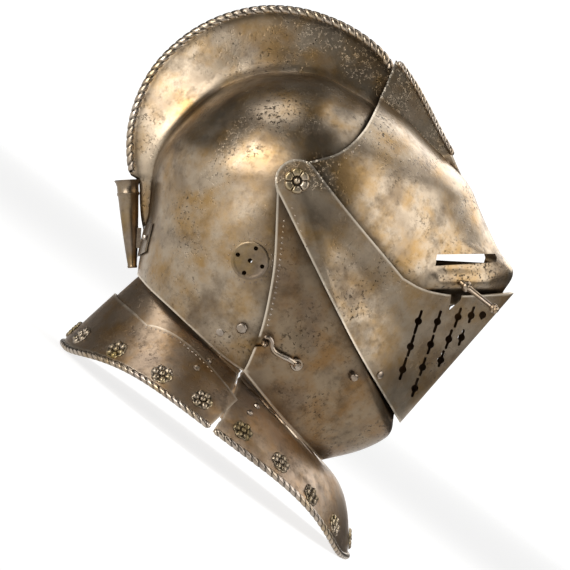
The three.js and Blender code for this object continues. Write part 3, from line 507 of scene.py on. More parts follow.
def collar(turn, drop):
    """Gorget surface: turn is degrees round from the front, drop runs 0 at the neck to 1 at the rim. An oval
    at the neck and one at the rim are blended, faster near the neck at the front, where it is nearly level."""
    c, s = np.cos(np.radians(turn)), np.sin(np.radians(turn))
    power = np.where(c > 0, mix(SPREAD_SIDE, SPREAD_FRONT, c * c), SPREAD_REAR)
    spread = np.where(drop < 0, SPREAD_ABOVE * drop, np.maximum(drop, 0) ** power)
    mean = (NECK_FRONT_HEIGHT + NECK_BACK_HEIGHT) / 2
    neck_height = mean + c * (NECK_FRONT_HEIGHT - NECK_BACK_HEIGHT) / 2 + NECK_SIDE_RISE * s * s
    rim_height = RIM_ARCH * ease((np.abs(s) - RIM_FLAT_SHARE) / (1 - RIM_FLAT_SHARE))
    a = mix(NECK_START + NECK_LENGTH / 2 * (1 + c), RIM_LENGTH / 2 * (1 + c), spread)
    h = mix(neck_height, rim_height, drop)
    x = BACK_TIP[0] + a * math.cos(LEAN) + h * math.sin(LEAN)
    z = BACK_TIP[1] - a * math.sin(LEAN) + h * math.cos(LEAN)
    return np.stack([x, -mix(NECK_HALF_WIDTH, RIM_HALF_WIDTH, spread) * s, z], -1)


def collar_normal(turn, drop):
    """Outward normal of the gorget surface, from its slopes round and down."""
    d = np.maximum(drop, 0.02)
    round_slope = collar(turn + 0.5, d) - collar(turn - 0.5, d)
    return unit(np.cross(round_slope, collar(turn, d + 0.01) - collar(turn, d - 0.01)))


def on_collar(turn, drop, lift):
    """The gorget surface, lifted along its normal."""
    return collar(turn, drop) + lift * collar_normal(turn, drop)


def front_turn(u, drop):
    """Degrees round across the front plate, from one split to the other."""
    return (2 * u - 1) * (mix(SPLIT_NECK, SPLIT_RIM, drop) - SPLIT_GAP)


def rear_turn(u, drop):
    """Degrees round across the rear plates, from one split to the other."""
    return 180 + (2 * u - 1) * (180 - mix(SPLIT_NECK, SPLIT_RIM, drop) - SPLIT_GAP)


def front_sheet(u, v, lift):
    """Front plate: the gorget surface from the neck, drawn up at the sides, to just above the rim."""
    drop = mix(PLATE_TOP * np.sin(np.radians(front_turn(u, 0))) ** 4, PLATE_FOOT, v)
    return on_collar(front_turn(u, drop), drop, lift)


def rear_top(turn):
    """Upper edge of the rear plate: a wide lobe over the back and one on each side, meeting in a notch."""
    off = np.abs(turn - 180)
    middle = LOBE_TOP + (CUSP_DROP - LOBE_TOP) * np.clip(off / CUSP_OFF, 0, 1) ** 3
    across = np.clip((off - CUSP_OFF) / (LOBE_END - CUSP_OFF), 0, 1)
    return np.where(off < CUSP_OFF, middle, CUSP_DROP - SIDE_LOBE * np.sin(np.pi * across) ** 0.7)


def rear_sheet(u, v, lift):
    """Rear plate: the gorget surface from its lobed upper edge to just above the rim."""
    turn = rear_turn(u, v)
    return on_collar(turn, mix(rear_top(turn), PLATE_FOOT, v), lift)


def lame_sheet(u, v, lift):
    """Nape lame: a band of the gorget surface that runs up past the neck and down under the rear plate."""
    drop = mix(PLATE_TOP, LAME_FOOT, v)
    return on_collar(rear_turn(u, drop), drop, lift)


def rim_path(turn_at, tuck):
    """Line of a rim's cord: the rim, set in by the plate's tuck and moved to stand on the ground."""
    turn = turn_at(np.linspace(0, 1, 400), 1.0)
    out = collar_normal(turn, np.ones_like(turn))
    out = unit(out - (out @ RIM_UP)[:, None] * RIM_UP)
    return collar(turn, 1.0) - tuck * out - (RIM_STAND - RIM_CORD) * RIM_UP


def prism(ring, y_from, y_to):
    """An outline in the side view drawn out along Y."""
    n, i = len(ring), np.arange(len(ring))
    side = np.stack([i, i + n, (i + 1) % n + n, (i + 1) % n], -1)
    points = np.concatenate([np.insert(ring, 1, y, axis=1) for y in (y_from, y_to)])
    return points, side.tolist() + [i.tolist(), (i[::-1] + n).tolist()]


def cut(target, name, outlines, y_from, y_to):
    """Cut straight holes across the helmet, one for each outline in the side view."""
    tool = object_from(name, *join_parts([prism(ring, y_from, y_to) for ring in outlines]))
    change = target.modifiers.new(name, "BOOLEAN")
    change.operation, change.solver, change.object = "DIFFERENCE", "MANIFOLD", tool
    settled = bpy.data.meshes.new_from_object(target.evaluated_get(bpy.context.evaluated_depsgraph_get()))
    target.modifiers.clear()
    old = target.data
    target.data = settled
    settled.name = old.name + "_cut"
    bpy.data.meshes.remove(old)
    bpy.data.objects.remove(tool)
    settled.set_sharp_from_angle(angle=math.radians(SMOOTH_ANGLE))


def round_slot(near, far, half):
    """Outline of a slit with round ends between two points."""
    a = np.linspace(-np.pi / 2, np.pi / 2, 7) + math.atan2(far[1] - near[1], far[0] - near[0])
    end = half * np.stack([np.cos(a), np.sin(a)], -1)
    return np.concatenate([far + end, near - end])


def ring_of(x, z, radius, sides=20):
    """Outline of a round hole."""
    a = circle(sides)
    return np.stack([x + radius * np.cos(a), z + radius * np.sin(a)], -1)


PETAL_SIDES, PETAL_RINGS = 20, 24


def rosette(radius, petals, height, flat=False):
    """Flower boss: a height over a disc. Each petal is a round dome, or a flat leaf with a narrow groove
    beside it, and a button stands in the middle; the seams between are marked as grooves."""
    a = circle(petals * PETAL_SIDES)
    t = np.linspace(0, 1, PETAL_RINGS + 1)[1:]
    turn = (a * petals / (2 * np.pi)) % 1 - 0.5
    reach = radius * (0.88 + 0.12 * np.cos(np.pi * turn) ** 0.6)
    across = turn[None] * 2 * np.pi / petals * t[:, None] / 0.3
    along = (t[:, None] - 0.66) / 0.31
    petal = np.sqrt(np.clip(1 - across ** 2 - along ** 2, 0, 1))
    if flat:
        petal = np.clip(1 - np.abs(2 * turn[None]) ** 7 - along ** 4, 0, 1) ** 0.5 * (0.75 + 0.2 * t[:, None])
    button = np.sqrt(np.clip(1 - (t[:, None] / 0.29) ** 2, 0, 1)) * np.ones_like(a)[None]
    relief = np.maximum(0.78 * petal, 0.9 * button)
    z = height * (0.16 + relief)
    z[-1] = 0
    ring = np.stack([t[:, None] * reach * np.cos(a), t[:, None] * reach * np.sin(a), z], -1).reshape(-1, 3)
    index = 1 + np.arange(len(t) * len(a)).reshape(len(t), -1)
    index = np.hstack([index, index[:, :1]])
    middle = np.stack([np.zeros(len(a), int), index[0, :-1], index[0, 1:]], -1)
    seam = np.concatenate([[0], (np.clip(1 - relief / 0.4, 0, 1) * (t[:, None] < 0.9)).reshape(-1)])
    points = np.vstack([[[0, 0, 1.06 * height]], ring])
    base = [index[-1, :-1][::-1].tolist()]
    return points, middle.tolist() + quads_of(index)[:, ::-1].tolist() + base, seam


# Edges that lie over the plate beneath
BEVOR_REAR = stroke([on_ray(205.0, TAB_RADIUS), (-16.2, -55.6), (-19.6, -79), (-25.6, -105), (-34.4, -127.8),
                     (-38.2, -135)])
VISOR_BROW = stroke([on_ray(51.6, 118.2), (66, 74), (61.9, 65.1), (58.2, 56.2), (46.8, 35.8), (30.5, 20.9),
                     on_ray(60.0, TAB_RADIUS)])
VENTAIL_LIP = stroke([RIDGE_TOP, (129.3, -80.9), (112.3, -80.5), (91.4, -76.1), (76.5, -68.3)], grade=(1.9, 1))
VENTAIL_TOP = stroke([(76.5, -68.3), (37.6, -23), (13.5, 7.6)])
VENTAIL_REAR = stroke([on_ray(200.0, TAB_RADIUS), (39.7, -113.6), (76.7, -175.4)], grade=(1, 1.9))
CREST_FROM, CREST_TO, CREST_CORD_SINK, CORD_FOOT_SINK = 50, 176, 2.4, 6.4
# Foot of the comb cord, beside which a painted shadow is laid on the skull
cord_foot_angles = np.linspace(CREST_FROM, CREST_TO, 200)
CORD_FOOT = on_ray(cord_foot_angles, cubic(COMB, "radius", cord_foot_angles) - CORD_FOOT_SINK)

# Skull, bevor, visor and ventail
skull = fan_plate("skull_plate", Skull, (-30, 0), (14, 209, 240), [
    stroke([(-118, -65.1), (-114, -69), (-107, -76), (-90, -91), (-70, -109.4), (-51, -126.4), (-31, -140)],
           grade=(1.9, 1)),
    stroke([(-31, -140), (-12, -110), (-2, -80), (8, -40), (16, -8)], 5),
    stroke([(16, -8), (25, 2), (50, 11), (83, 21)], 4, grade=(1, 1.9))],
    rings=64, laps=[BEVOR_REAR, VISOR_BROW, CORD_FOOT])
EAR = {"x": -33.2, "z": -56.0, "radius": 13.6, "hole": 1.6, "ring": 9.6, "turn": 64.0, "left_turn": 40.0}
EAR_LAP, PIVOT_HOLE = 2.4, 2.6
cut(skull, "skull_holes", [ring_of(EAR["x"], EAR["z"], EAR["radius"] - EAR_LAP), ring_of(0, 0, PIVOT_HOLE)],
    *WHOLE_WIDTH)

CHIN_TOP = -62.0
bevor = fan_plate("bevor_plate", Bevor, (5, -110), (-84.7, CHIN_TOP, 60), [
    stroke([on_ray(CHIN_TOP, Bevor.radius(CHIN_TOP, 0)), (62, -120), (40, -75), (19, -26)], 4, grade=(1.9, 1)),
    tab(-10, 205),
    BEVOR_REAR, stroke([(-38.2, -135), (-10, -170), (18.9, -202.8)], grade=(1, 1.9))], laps=[VENTAIL_REAR])
CATCH = (-22.6, -113.6)
CATCH_NOTCH = np.array([(-24, 4.5), (-24, -4), (2, -3.4), (3.4, 0), (2, 2.4)]) + CATCH
cut(bevor, "bevor_notch", [CATCH_NOTCH], WHOLE_WIDTH[0], -30)

# The left sight is set off from the right one, because the photograph shows dark metal behind most of it
SIGHT = np.array([(100.2, -59.5), (146.0, -56.7), (147.2, -53.4), (146.0, -50.4), (101.2, -51.3)])
SIGHT_LEFT = np.array([(101.2, -54.2), (140.4, -56.6), (141.4, -53.0), (140.4, -49.6), (101.2, -48.8)])
visor = fan_plate("visor_plate", Visor, (80, -8), (-29, KEEL_SLOT_END, 90), [
    VISOR_BROW, tab(60, 290),
    stroke([on_ray(290.0, TAB_RADIUS), (25, -25), (62, -66), (84, -82), (98, -86)], 3),
    stroke([(98, -86), (112, -88), (128, -87), (142, -85.5), on_ray(-29.0, 171.0)], 1.5, grade=(1, 1.6))],
    rings=64, crest=(KEEL_SLOT_END, 51.6, 90), laps=[VENTAIL_TOP, VENTAIL_LIP])
SIGHT_BAR = 3.5
cut(visor, "sight_right", [SIGHT], WHOLE_WIDTH[0], -SIGHT_BAR)
cut(visor, "sight_left", [SIGHT_LEFT], SIGHT_BAR, WHOLE_WIDTH[1])

ventail = fan_plate("ventail_plate", Ventail, (62, -100), (-66.4, -26.25, 80), [
    VENTAIL_LIP, VENTAIL_TOP, tab(40, 200), VENTAIL_REAR], rings=50)
# Breaths by slit: middle, length and how far up it the round hole sits, as a share of the length
BREATHS = [
    (88.0, -100.3, 16.5, 0.05), (83.0, -117.4, 15.0, -0.05), (77.5, -134.2, 15.6, -0.05),
    (102.6, -100.0, 15.2, 0), (98.0, -116.8, 13.4, 0), (92.5, -133.0, 12.6, -0.05),
    (87.0, -148.5, 13.0, -0.05), (118.0, -97.2, 13.6, 0.05), (111.8, -113.0, 13.4, 0),
    (106.5, -127.5, 11.2, -0.1), (128.4, -95.2, 11.0, -0.05), (121.4, -112.0, 11.0, 0), (137.0, -95.8, 4.2, 0.1)]
SLIT_HALF, BREATH_RADIUS, BREATH_LEAN = 1.05, 2.8, math.radians(17)
# The left breaths are set off from the right ones, because the photograph shows dark metal behind them
BREATH_SET_BACK = np.array([0.5, -5.0])
up_slit = np.array([math.sin(BREATH_LEAN), math.cos(BREATH_LEAN)])
slits, holes = [], []
for x, z, length, hole in BREATHS:
    slits.append(round_slot((x, z) - up_slit * length / 2, (x, z) + up_slit * length / 2, SLIT_HALF))
    holes.append(ring_of(*((x, z) + up_slit * hole * length), BREATH_RADIUS, 16))
for y0, y1, back in ((-95, -3, 0.0), (3, 95, BREATH_SET_BACK)):
    cut(ventail, "breath_slits", [ring - back for ring in slits], y0, y1)
    cut(ventail, "breath_holes", [ring - back for ring in holes], y0, y1)
PEG_NOTCH = np.array([(111.5, -70), (112.3, -81), (110.9, -92), (119.5, -84.2), (123, -70)])
cut(ventail, "peg_notch", [PEG_NOTCH], WHOLE_WIDTH[0], -3)


# Cords
def cord_object(name, *ropes):
    """One object of one or more ropes, with their grooves marked."""
    groove = np.concatenate([marks for points, faces, marks in ropes])
    return object_from(name, *join_parts(ropes), attributes={"groove": groove})


crest_angles = np.linspace(CREST_FROM, CREST_TO, 300)
crest = on_ray(crest_angles, cubic(COMB, "radius", crest_angles) - CREST_CORD_SINK)
comb_cord = cord_object("comb_cord", rope(np.insert(crest, 1, 0.0, axis=1), COMB_CORD, (0, 1, 0), COMB_PITCH))
slot_angles = np.linspace(11, 50.6, 160)
slot_line = on_ray(slot_angles, cubic(KEEL, "radius", slot_angles) + 0.4)
slot_half = Visor.y(slot_line[:, 0], slot_line[:, 1], 0.0) - 0.2
keel_cords = cord_object("keel_cords", *[
    rope(np.stack([slot_line[:, 0], side * slot_half, slot_line[:, 1]], -1), SLOT_CORD, (0, 1, 0), KEEL_PITCH)
    for side in (-1, 1)])
front_cord, rear_cord = [
    cord_object(f"{end}_rim_cord", rope(rim_path(turn_at, tuck + SHEET / 2), RIM_CORD, RIM_UP, RIM_PITCH))
    for end, turn_at, tuck in (("front", front_turn, FRONT_TUCK), ("rear", rear_turn, REAR_TUCK))]


def sheet_object(name, place, across, down, tuck):
    """Gorget plate set in from the gorget surface by its tuck."""
    points, faces, edge_wear_and_sheen = grid_plate(place, across, down, -tuck, -tuck - SHEET)
    return object_from(name, points, faces, attributes={"edge_wear_and_highlight": edge_wear_and_sheen})


front_gorget = sheet_object("front_gorget_plate", front_sheet, 160, 40, FRONT_TUCK)
rear_gorget = sheet_object("rear_gorget_plate", rear_sheet, 220, 40, REAR_TUCK)
nape_lame = sheet_object("nape_lame_plate", lame_sheet, 120, 24, LAME_TUCK)


# Rosettes on the gorget and over the pivots
FRONT_ROSETTES = {"a": (81, 0.67), "b": (64, 0.67), "c": (47.5, 0.71), "d": (28, 0.71)}
REAR_ROSETTES = {"a": (98.5, 0.73), "b": (115.2, 0.8), "c": (135.8, 0.83), "d": (159.2, 0.82)}
PIVOT_OUT = 105.1
rosettes = []


def add_rosette(node_name, body, shape, place, normal, lift):
    """Stand a flower boss on a plate in place of a node."""
    made = object_from(node_name + "_flower", *stand(shape, place, normal, lift), 50, {"groove": shape[2]})
    rosettes.append((made, body, node_name))


gorget_flower = rosette(8.2, 6, 2.3)
for plate, body, tuck, letters, middle in (
        ("front", "bevor_body", FRONT_TUCK, FRONT_ROSETTES, (0.0, 0.74)),
        ("rear", "skull_body", REAR_TUCK, REAR_ROSETTES, (180.0, 0.84))):
    spots = {f"{letter}_{side}": (-sign * turn, drop) for letter, (turn, drop) in letters.items()
             for side, sign in SIDES}
    for spot, (turn, drop) in {**spots, "middle": middle}.items():
        turn, drop = np.array([float(turn)]), np.array([drop])
        add_rosette(f"{plate}_rosette_{spot}", body, gorget_flower, collar(turn, drop),
                    collar_normal(turn, drop), 0.2 - tuck)
pivot_flower = rosette(9.4, 6, 3.0, flat=True)
for side, sign in SIDES:
    add_rosette(f"pivot_{side}", "skull_body", pivot_flower, [[0, sign * PIVOT_OUT, 0]], [[0, sign, 0]], 0.0)


def spaced(points, step):
    """Points at even steps along a line through corners in the side view."""
    points = np.asarray(points, float)
    run = along(points)
    at = np.linspace(0, run[-1], max(2, int(run[-1] / step)))
    return np.interp(at, run, points[:, 0]), np.interp(at, run, points[:, 1])


def dots_object(name, places, normals, radius=0.9, height=0.5):
    """Row of low half beads: each a quarter ellipse turned about its own axis."""
    t = np.linspace(0, np.pi / 2, 4)
    bead = lathe(np.stack([radius * np.clip(np.cos(t), 0.03, 1), height * np.sin(t)], -1), 8)
    return object_from(name, *stand(bead, places, normals))


# Rows of small bosses beside the edges of the plates
def both_sides(form, x, z):
    """Points and normals on a plate's right side, then on its left."""
    near, far = on_plate(form, x, z, -1), on_plate(form, x, z, 1)
    return np.concatenate([near[0], far[0]]), np.concatenate([near[1], far[1]])


bevor_row = spaced([(-9, -28), (-11.8, -55.6), (-15.2, -79), (-20.6, -102)], 3.6)
bevor_dots = dots_object("bevor_dots", *both_sides(Bevor, *bevor_row))
ventail_row = spaced([(-3.4, -19), (7, -46)], 4.4)
ventail_dots = dots_object("ventail_dots", *both_sides(Ventail, *ventail_row), 0.7, 0.4)
visor_row = spaced([(30, 12), (45, 26.5), (52, 35.5), (59, 48)], 5.2)
visor_dots = dots_object("visor_dots", *both_sides(Visor, *visor_row))
ear_row = ring_of(EAR["x"], EAR["z"], EAR["radius"] + 2.3, 24).T
ear_dots = dots_object("ear_dots", *both_sides(Skull, *ear_row), 0.6, 0.4)
row_turn = np.concatenate([np.arange(98, 133, 2.1), np.arange(227, 263, 2.1)])
row_drop = rear_top(row_turn) + 0.05
gorget_dots = dots_object("rear_gorget_dots", on_collar(row_turn, row_drop, -REAR_TUCK),
                          collar_normal(row_turn, row_drop), 0.7, 0.45)


# Ear discs: pierced, slightly domed plates with a raised rim
def disc_object(side, sign):
    """Disc turned about its middle: nearly flat, with a rounded raised band before its edge, and pierced by a
    hole in the middle and four round it."""
    r = np.linspace(EAR["radius"], 0.05, 16)
    top = 1.3 + 0.5 * np.exp(-((r - 12.3) / 0.8) ** 2)
    disc = lathe(np.vstack([[[0.05, 0.1], [EAR["radius"], 0.1]], np.stack([r, top], -1)]), 72)
    spot = on_plate(Skull, EAR["x"], EAR["z"], sign)
    made = object_from(f"ear_disc_{side}_plate", *stand(disc, *spot, 0.1))
    a = EAR["turn"] + (EAR["left_turn"] if sign > 0 else 0) + np.array([0, 90, 180, 270])
    spots = np.vstack([[0, 0], on_ray(a, EAR["ring"])]) + (EAR["x"], EAR["z"])
    cut(made, "ear_holes", [ring_of(x, z, EAR["hole"]) for x, z in spots], *sorted((sign * 60, sign * 130)))
    return made


ear_discs = {side: disc_object(side, sign) for side, sign in SIDES}


def bar(path, radius, flat):
    """Flattened bar along a path with its own radius at each point, closed by rounded ends."""
    run = along(path)
    rows = {"angle": run, "r": radius, **{axis: path[:, i] for i, axis in enumerate("xyz")}}
    at = (0.5 - 0.5 * np.cos(np.linspace(0, np.pi, 60))) * run[-1]
    p = np.stack([cubic(rows, axis, at) for axis in "xyz"], -1)
    t = unit(np.gradient(p, at, axis=0))
    outward = np.array([0, -1.0, 0])
    rise = unit(outward - t * (t @ outward)[:, None])
    r = cubic(rows, "r", at)
    r = r * np.sqrt(np.clip(1 - np.clip(1 - np.minimum(at, run[-1] - at) / r, 0, 1) ** 2, 0.0004, 1))
    return skin(rings_along(p, flat * rise, np.cross(t, rise), r[:, None], 14))


# Hook: an eye on its rivet and an arm that turns over the catch stud
HOOK_LINE = np.array([(-0.6, -129.2), (-5.4, -125.6), (-11, -122.8), (-15.4, -120), (-17.4, -116.6),
                      (-17.6, -112.6), (-19.4, -109.4), (-23, -108.8)])
HOOK_RADII = np.array([2.3, 2.1, 2.0, 1.9, 1.7, 1.6, 1.5, 1.5])
EYE = [(0.3, 0.2), (4.3, 0.2), (4.8, 0.9), (4.8, 2.0), (4.2, 2.7), (2.9, 2.8), (2.2, 2.3), (0.3, 2.3)]
HOOK_LIFT, HOOK_RISE, EYE_LIFT = 3, 0.36, 1.2
arm_place, arm_normal = on_plate(Bevor, *HOOK_LINE.T, -1)
arm_lift = HOOK_LIFT + HOOK_RISE * np.arange(len(HOOK_LINE))
arm = bar(arm_place + arm_lift[:, None] * arm_normal, HOOK_RADII, flat=0.75)
eye = stand(lathe(EYE, 36), arm_place[:1], arm_normal[:1], EYE_LIFT)
hook = object_from("hook_forging", *join_parts([arm, eye]), 45)


# Studs and rivet heads
def head(name, form, x, z, radius, height, sides=28, flat_top=0.0):
    """Rivet head: a low cap with a rounded shoulder; flat_top is the share of it that is filed level."""
    t = np.linspace(0, np.pi / 2, 7)
    cap = np.stack([radius * (flat_top + (1 - flat_top) * np.cos(t)), height * (0.45 + 0.55 * np.sin(t))], -1)
    cap[-1] = (0.05 + flat_top) * radius, height
    profile = np.vstack([[[radius * 0.95, 0]], cap])
    return object_from(name + "_head", *stand(lathe(profile, sides), *on_plate(form, x, z, -1), 0.1), 35)


HEADS = [
    ("skull_stud", "skull_body", Skull, -38.9, -103.7, 4.4, 3.6, 8, 0.6),
    ("catch_stud", "skull_body", Skull, *CATCH, 2.6, 9.0),
    ("bevor_stud", "bevor_body", Bevor, 40.4, -138.4, 3.5, 4.4, 8, 0.6),
    ("ventail_rivet", "ventail_body", Ventail, 60.2, -138.2, 3.0, 1.3),
    ("skull_flush_rivet", "skull_body", Skull, -55.0, -107.4, 2.9, 0.5)]
heads = [(head(name, *row), body, name if name in frame["nodes"] else None) for name, body, *row in HEADS]


def turned(foot, tip, low, high, sides):
    """Turned piece between two points, from (radius, height) pairs from its foot and then from its tip."""
    run = tip - foot
    length = float(np.linalg.norm(run))
    return stand(lathe(low + [(r, length + h) for r, h in high], sides), foot, run / length)


# Lifting peg: a collared pin with a knob, out of the visor's ledge
PEG_FOOT, PEG_TIP = (120.5, -72.0), np.array([144.4, -54.0, -91.8])
peg = object_from("lifting_peg_pin", *turned(
    on_plate(Visor, *PEG_FOOT, -1)[0][0], PEG_TIP,
    [(0.3, -4), (2.4, -4), (2.4, 1.6), (3.6, 2.0), (4.2, 3.4), (4.2, 4.6), (3.6, 6.0), (2.4, 6.6), (2.1, 8)],
    [(1.9, -7), (2.0, -5.4), (3.2, -4.4), (3.5, -2.6), (2.6, -1.4), (2.7, -0.4), (1.9, 0.8), (0.2, 1.2)],
    26), 35)

# Plume holder: a flared socket held by a strap across the back of the skull
PLUME_MOUTH, PLUME_FOOT = np.array([-125.0, 0, 4.4]), np.array([-121.3, 0, -60.7])
socket = turned(
    PLUME_FOOT, PLUME_MOUTH,
    [(0.3, 0), (3.3, 0), (3.7, 1.2), (3.4, 2.2), (4.6, 13), (5.8, 26), (7.0, 42)],
    [(7.7, -12), (8.3, -11.2), (8.5, -10), (8.0, -9), (8.1, -4.6), (8.8, -2.2), (9.9, -0.3), (9.6, 0),
     (8.3, -1.8), (6.6, -8), (5.2, -42), (0.3, -42)], 40)
STRAP_LOW, STRAP_HIGH, STRAP_HALF = 204.0, 195.0, 33.0


def strap_sheet(u, v, lift):
    """Band round the back of the bowl between two directions, lifted along the bowl's radius."""
    angle, y = mix(STRAP_LOW, STRAP_HIGH, v), mix(-STRAP_HALF, STRAP_HALF, u)
    flat = on_ray(angle, cubic(BOWL, "radius", angle) * np.sqrt(1 - (y / SKULL_HALF_WIDTH) ** 2) + lift)
    return np.stack([flat[..., 0], y, flat[..., 1]], -1)


strap = grid_plate(strap_sheet, 40, 10, 2.2, 0.6)
web = prism(np.array([(-123.2, -31), (-122.4, -46), (-115.4, -46), (-114.7, -31)]), -3, 3)
plume_holder = object_from("plume_holder_socket", *join_parts([socket, strap, web]), 35)


# Materials
def linear(code):
    """sRGB hex colour to linear red, green, blue and full alpha."""
    part = [int(code[i:i + 2], 16) / 255 for i in (1, 3, 5)]
    return tuple(v / 12.92 if v <= 0.04045 else ((v + 0.055) / 1.055) ** 2.4 for v in part) + (1.0,)


def node(tree, kind, inputs=None, **settings):
    """Add one node, set its properties, and set or link its sockets."""
    made = tree.nodes.new("ShaderNode" + kind)
    for key, value in settings.items():
        setattr(made, key, value)
    for key, value in (inputs or {}).items():
        if isinstance(value, bpy.types.NodeSocket):
            tree.links.new(value, made.inputs[key])
        else:
            made.inputs[key].default_value = value
    return made


# Patterns over the steel: size in mm, where each begins and is full, detail, grain and offset in metres
PATTERNS = {
    "golden": (26, 0.42, 0.64, 6.0, 0.62, 0.0), "greyed": (36, 0.48, 0.64, 5.0, 0.6, 0.31),
    "cloud": (30, 0.5, 0.66, 8.0, 0.66, 0.13), "fleck": (6.5, 0.52, 0.7, 6.0, 0.7, 0.07),
    "spots": (2.2, 0.57, 0.64, 4.0, 0.6, 0.0), "spotted": (40, 0.46, 0.62, 3.0, 0.5, 0.21),
    "dents": (26, 0.2, 0.8, 1.5, 0.4, 0.5), "grain": (2.4, 0.2, 0.8, 4.0, 0.6, 0.0)}


def aged_steel(name, bare, warm, dull, stain, rough=0.3, stained=1.0, pitted=1.0, edge_wear_and_sheen=0.65):
    """Old wrought steel, once polished. Bare, golden and dull metal drift into each other over a few
    centimetres, brown stains cloud it and black pits cluster where rust bit. Grooves are darkened, a painted
    shadow lies beside a lapping plate, and edges are lightened partly by wear and partly as a painted highlight."""
    material = bpy.data.materials.new(name)
    material.use_nodes = True
    tree = material.node_tree
    tree.nodes.clear()
    place = node(tree, "TexCoord").outputs["Object"]
    amount = {}
    for key, (size, low, high, detail, grain, shift) in PATTERNS.items():
        moved = node(tree, "Mapping", {"Vector": place, "Location": (shift, 0.7 * shift, -0.4 * shift)})
        noise = node(tree, "TexNoise", {"Vector": moved.outputs[0], "Scale": 1000 / size, "Detail": detail,
                                        "Roughness": grain})
        ranged = node(tree, "MapRange", {"Value": noise.outputs["Fac"], "From Min": low, "From Max": high})
        amount[key] = ranged.outputs["Result"]
    pit = node(tree, "Math", {0: amount["spots"], 1: amount["spotted"]}, operation="MULTIPLY")
    amount["pit"] = pit.outputs[0]
    for key in ("painted_lap_shadow", "groove", "edge_wear_and_highlight"):
        amount[key] = node(tree, "Attribute", attribute_name=key).outputs["Fac"]
    colour = linear(bare)
    for key, tint, share in (
            ("golden", warm, 0.9), ("greyed", dull, 0.65), ("cloud", stain, 0.46 * stained),
            # The lap mark mixes in a painted shadow beside a lapping plate's edge
            ("fleck", stain, 0.34 * stained), ("pit", "#1A130D", 0.8 * pitted), ("painted_lap_shadow", "#20170F", 0.8),
            # Edges are lightened partly by wear and partly as a painted highlight
            ("groove", "#130D08", 0.8), ("edge_wear_and_highlight", "#E3D6C2", edge_wear_and_sheen)):
        part = node(tree, "MapRange", {"Value": amount[key], "To Max": share})
        mixed = node(tree, "Mix", {0: part.outputs["Result"], 6: colour, 7: linear(tint)}, data_type="RGBA")
        colour = mixed.outputs[2]
    dulled = node(tree, "MapRange", {"Value": amount["cloud"], "To Min": rough, "To Max": rough + 0.14})
    flecked = node(tree, "MapRange", {"Value": amount["fleck"], "To Max": 0.1})
    roughness = node(tree, "Math", {0: dulled.outputs[0], 1: flecked.outputs[0]}, operation="ADD")
    normal = None
    for key, strength, depth_mm in (("dents", 0.3, 1.1), ("grain", 0.22, 0.12), ("pit", 0.6 * pitted, -0.3)):
        inputs = {"Height": amount[key], "Strength": strength, "Distance": abs(depth_mm) / 1000}
        if normal:
            inputs["Normal"] = normal
        normal = node(tree, "Bump", inputs, invert=depth_mm < 0).outputs["Normal"]
    surface = node(tree, "BsdfPrincipled", {"Base Color": colour, "Metallic": 1.0, "Normal": normal,
                                            "Roughness": roughness.outputs[0]})
    node(tree, "OutputMaterial", {"Surface": surface.outputs[0]})
    return material


plate_steel = aged_steel("aged_plate_steel", "#9C8D79", "#8D7046", "#736453", "#36271B")
# A darker copy of the plate steel, for the bevor
bevor_steel = aged_steel("darker_bevor_steel", "#7C6C58", "#745838", "#605245", "#2C2016", pitted=0.8)
gorget_steel = aged_steel("aged_gorget_steel", "#A48F78", "#A07A48", "#807062", "#362719", 0.34, pitted=0.6,
                          edge_wear_and_sheen=0.45)
disc_steel = aged_steel("aged_fitting_steel", "#857766", "#7C6642", "#6A5E55", "#30241A", pitted=0.4)
rivet_steel = aged_steel("worn_rivet_steel", "#A3978A", "#8F7858", "#72665E", "#33271D", 0.28, pitted=0.2)
cord_steel = aged_steel("roped_edge_steel", "#B4A798", "#A08A68", "#8E8178", "#3B2C20", 0.28, 0.7, 0.1)
flower_steel = aged_steel("brassy_rosette_steel", "#A09280", "#94804E", "#7A6E62", "#33271A", 0.32, pitted=0.2)


# What carries each piece, the solid it stands for and its finish
MADE = [
    (skull, "skull_body", "skull", plate_steel), (bevor, "bevor_body", "bevor", bevor_steel),
    (visor, "visor_body", "visor", plate_steel), (ventail, "ventail_body", "ventail", plate_steel),
    (comb_cord, "skull_body", None, cord_steel), (keel_cords, "visor_body", None, cord_steel),
    (front_gorget, "bevor_body", "front_gorget", gorget_steel),
    (rear_gorget, "skull_body", "rear_gorget", gorget_steel),
    (nape_lame, "skull_body", "nape_lame", gorget_steel), (front_cord, "bevor_body", None, cord_steel),
    (rear_cord, "skull_body", None, cord_steel)]
MADE += [(made, body, node_name, flower_steel) for made, body, node_name in rosettes]
MADE += [(made, body, node_name, rivet_steel) for made, body, node_name in heads]
MADE += [(made, "skull_body", f"ear_disc_{side}", disc_steel) for side, made in ear_discs.items()]
MADE += [(bevor_dots, "bevor_body", None, rivet_steel), (visor_dots, "visor_body", None, rivet_steel),
         (ventail_dots, "ventail_body", None, rivet_steel), (ear_dots, "skull_body", None, rivet_steel),
         (gorget_dots, "skull_body", None, rivet_steel),
         (hook, "hook_body", "hook", rivet_steel), (peg, "visor_body", "lifting_peg", rivet_steel),
         (plume_holder, "skull_body", "plume_holder", disc_steel)]
for piece, body, node_name, finish in MADE:
    piece.data.materials.clear()
    piece.data.materials.append(finish)
    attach(piece, body)
    if node_name:
        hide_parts(node_name)
replaced = {row[2] for row in MADE}
for name in frame["nodes"]:
    kept = bpy.data.objects.get(name)
    if kept is not None and name not in replaced:
        kept.data.materials.clear()
        kept.data.materials.append(rivet_steel)

# Pale studio: floor, backdrop, soft lights and the camera, in metres
RIGHT, UP, BACK = TURN @ [1, 0, 0], TURN @ [0, 0, 1], np.array([0, -1.0, 0])
LOOK_AT, CAMERA_DISTANCE = to_row([-8.4, 0, -73.3]), 2.2


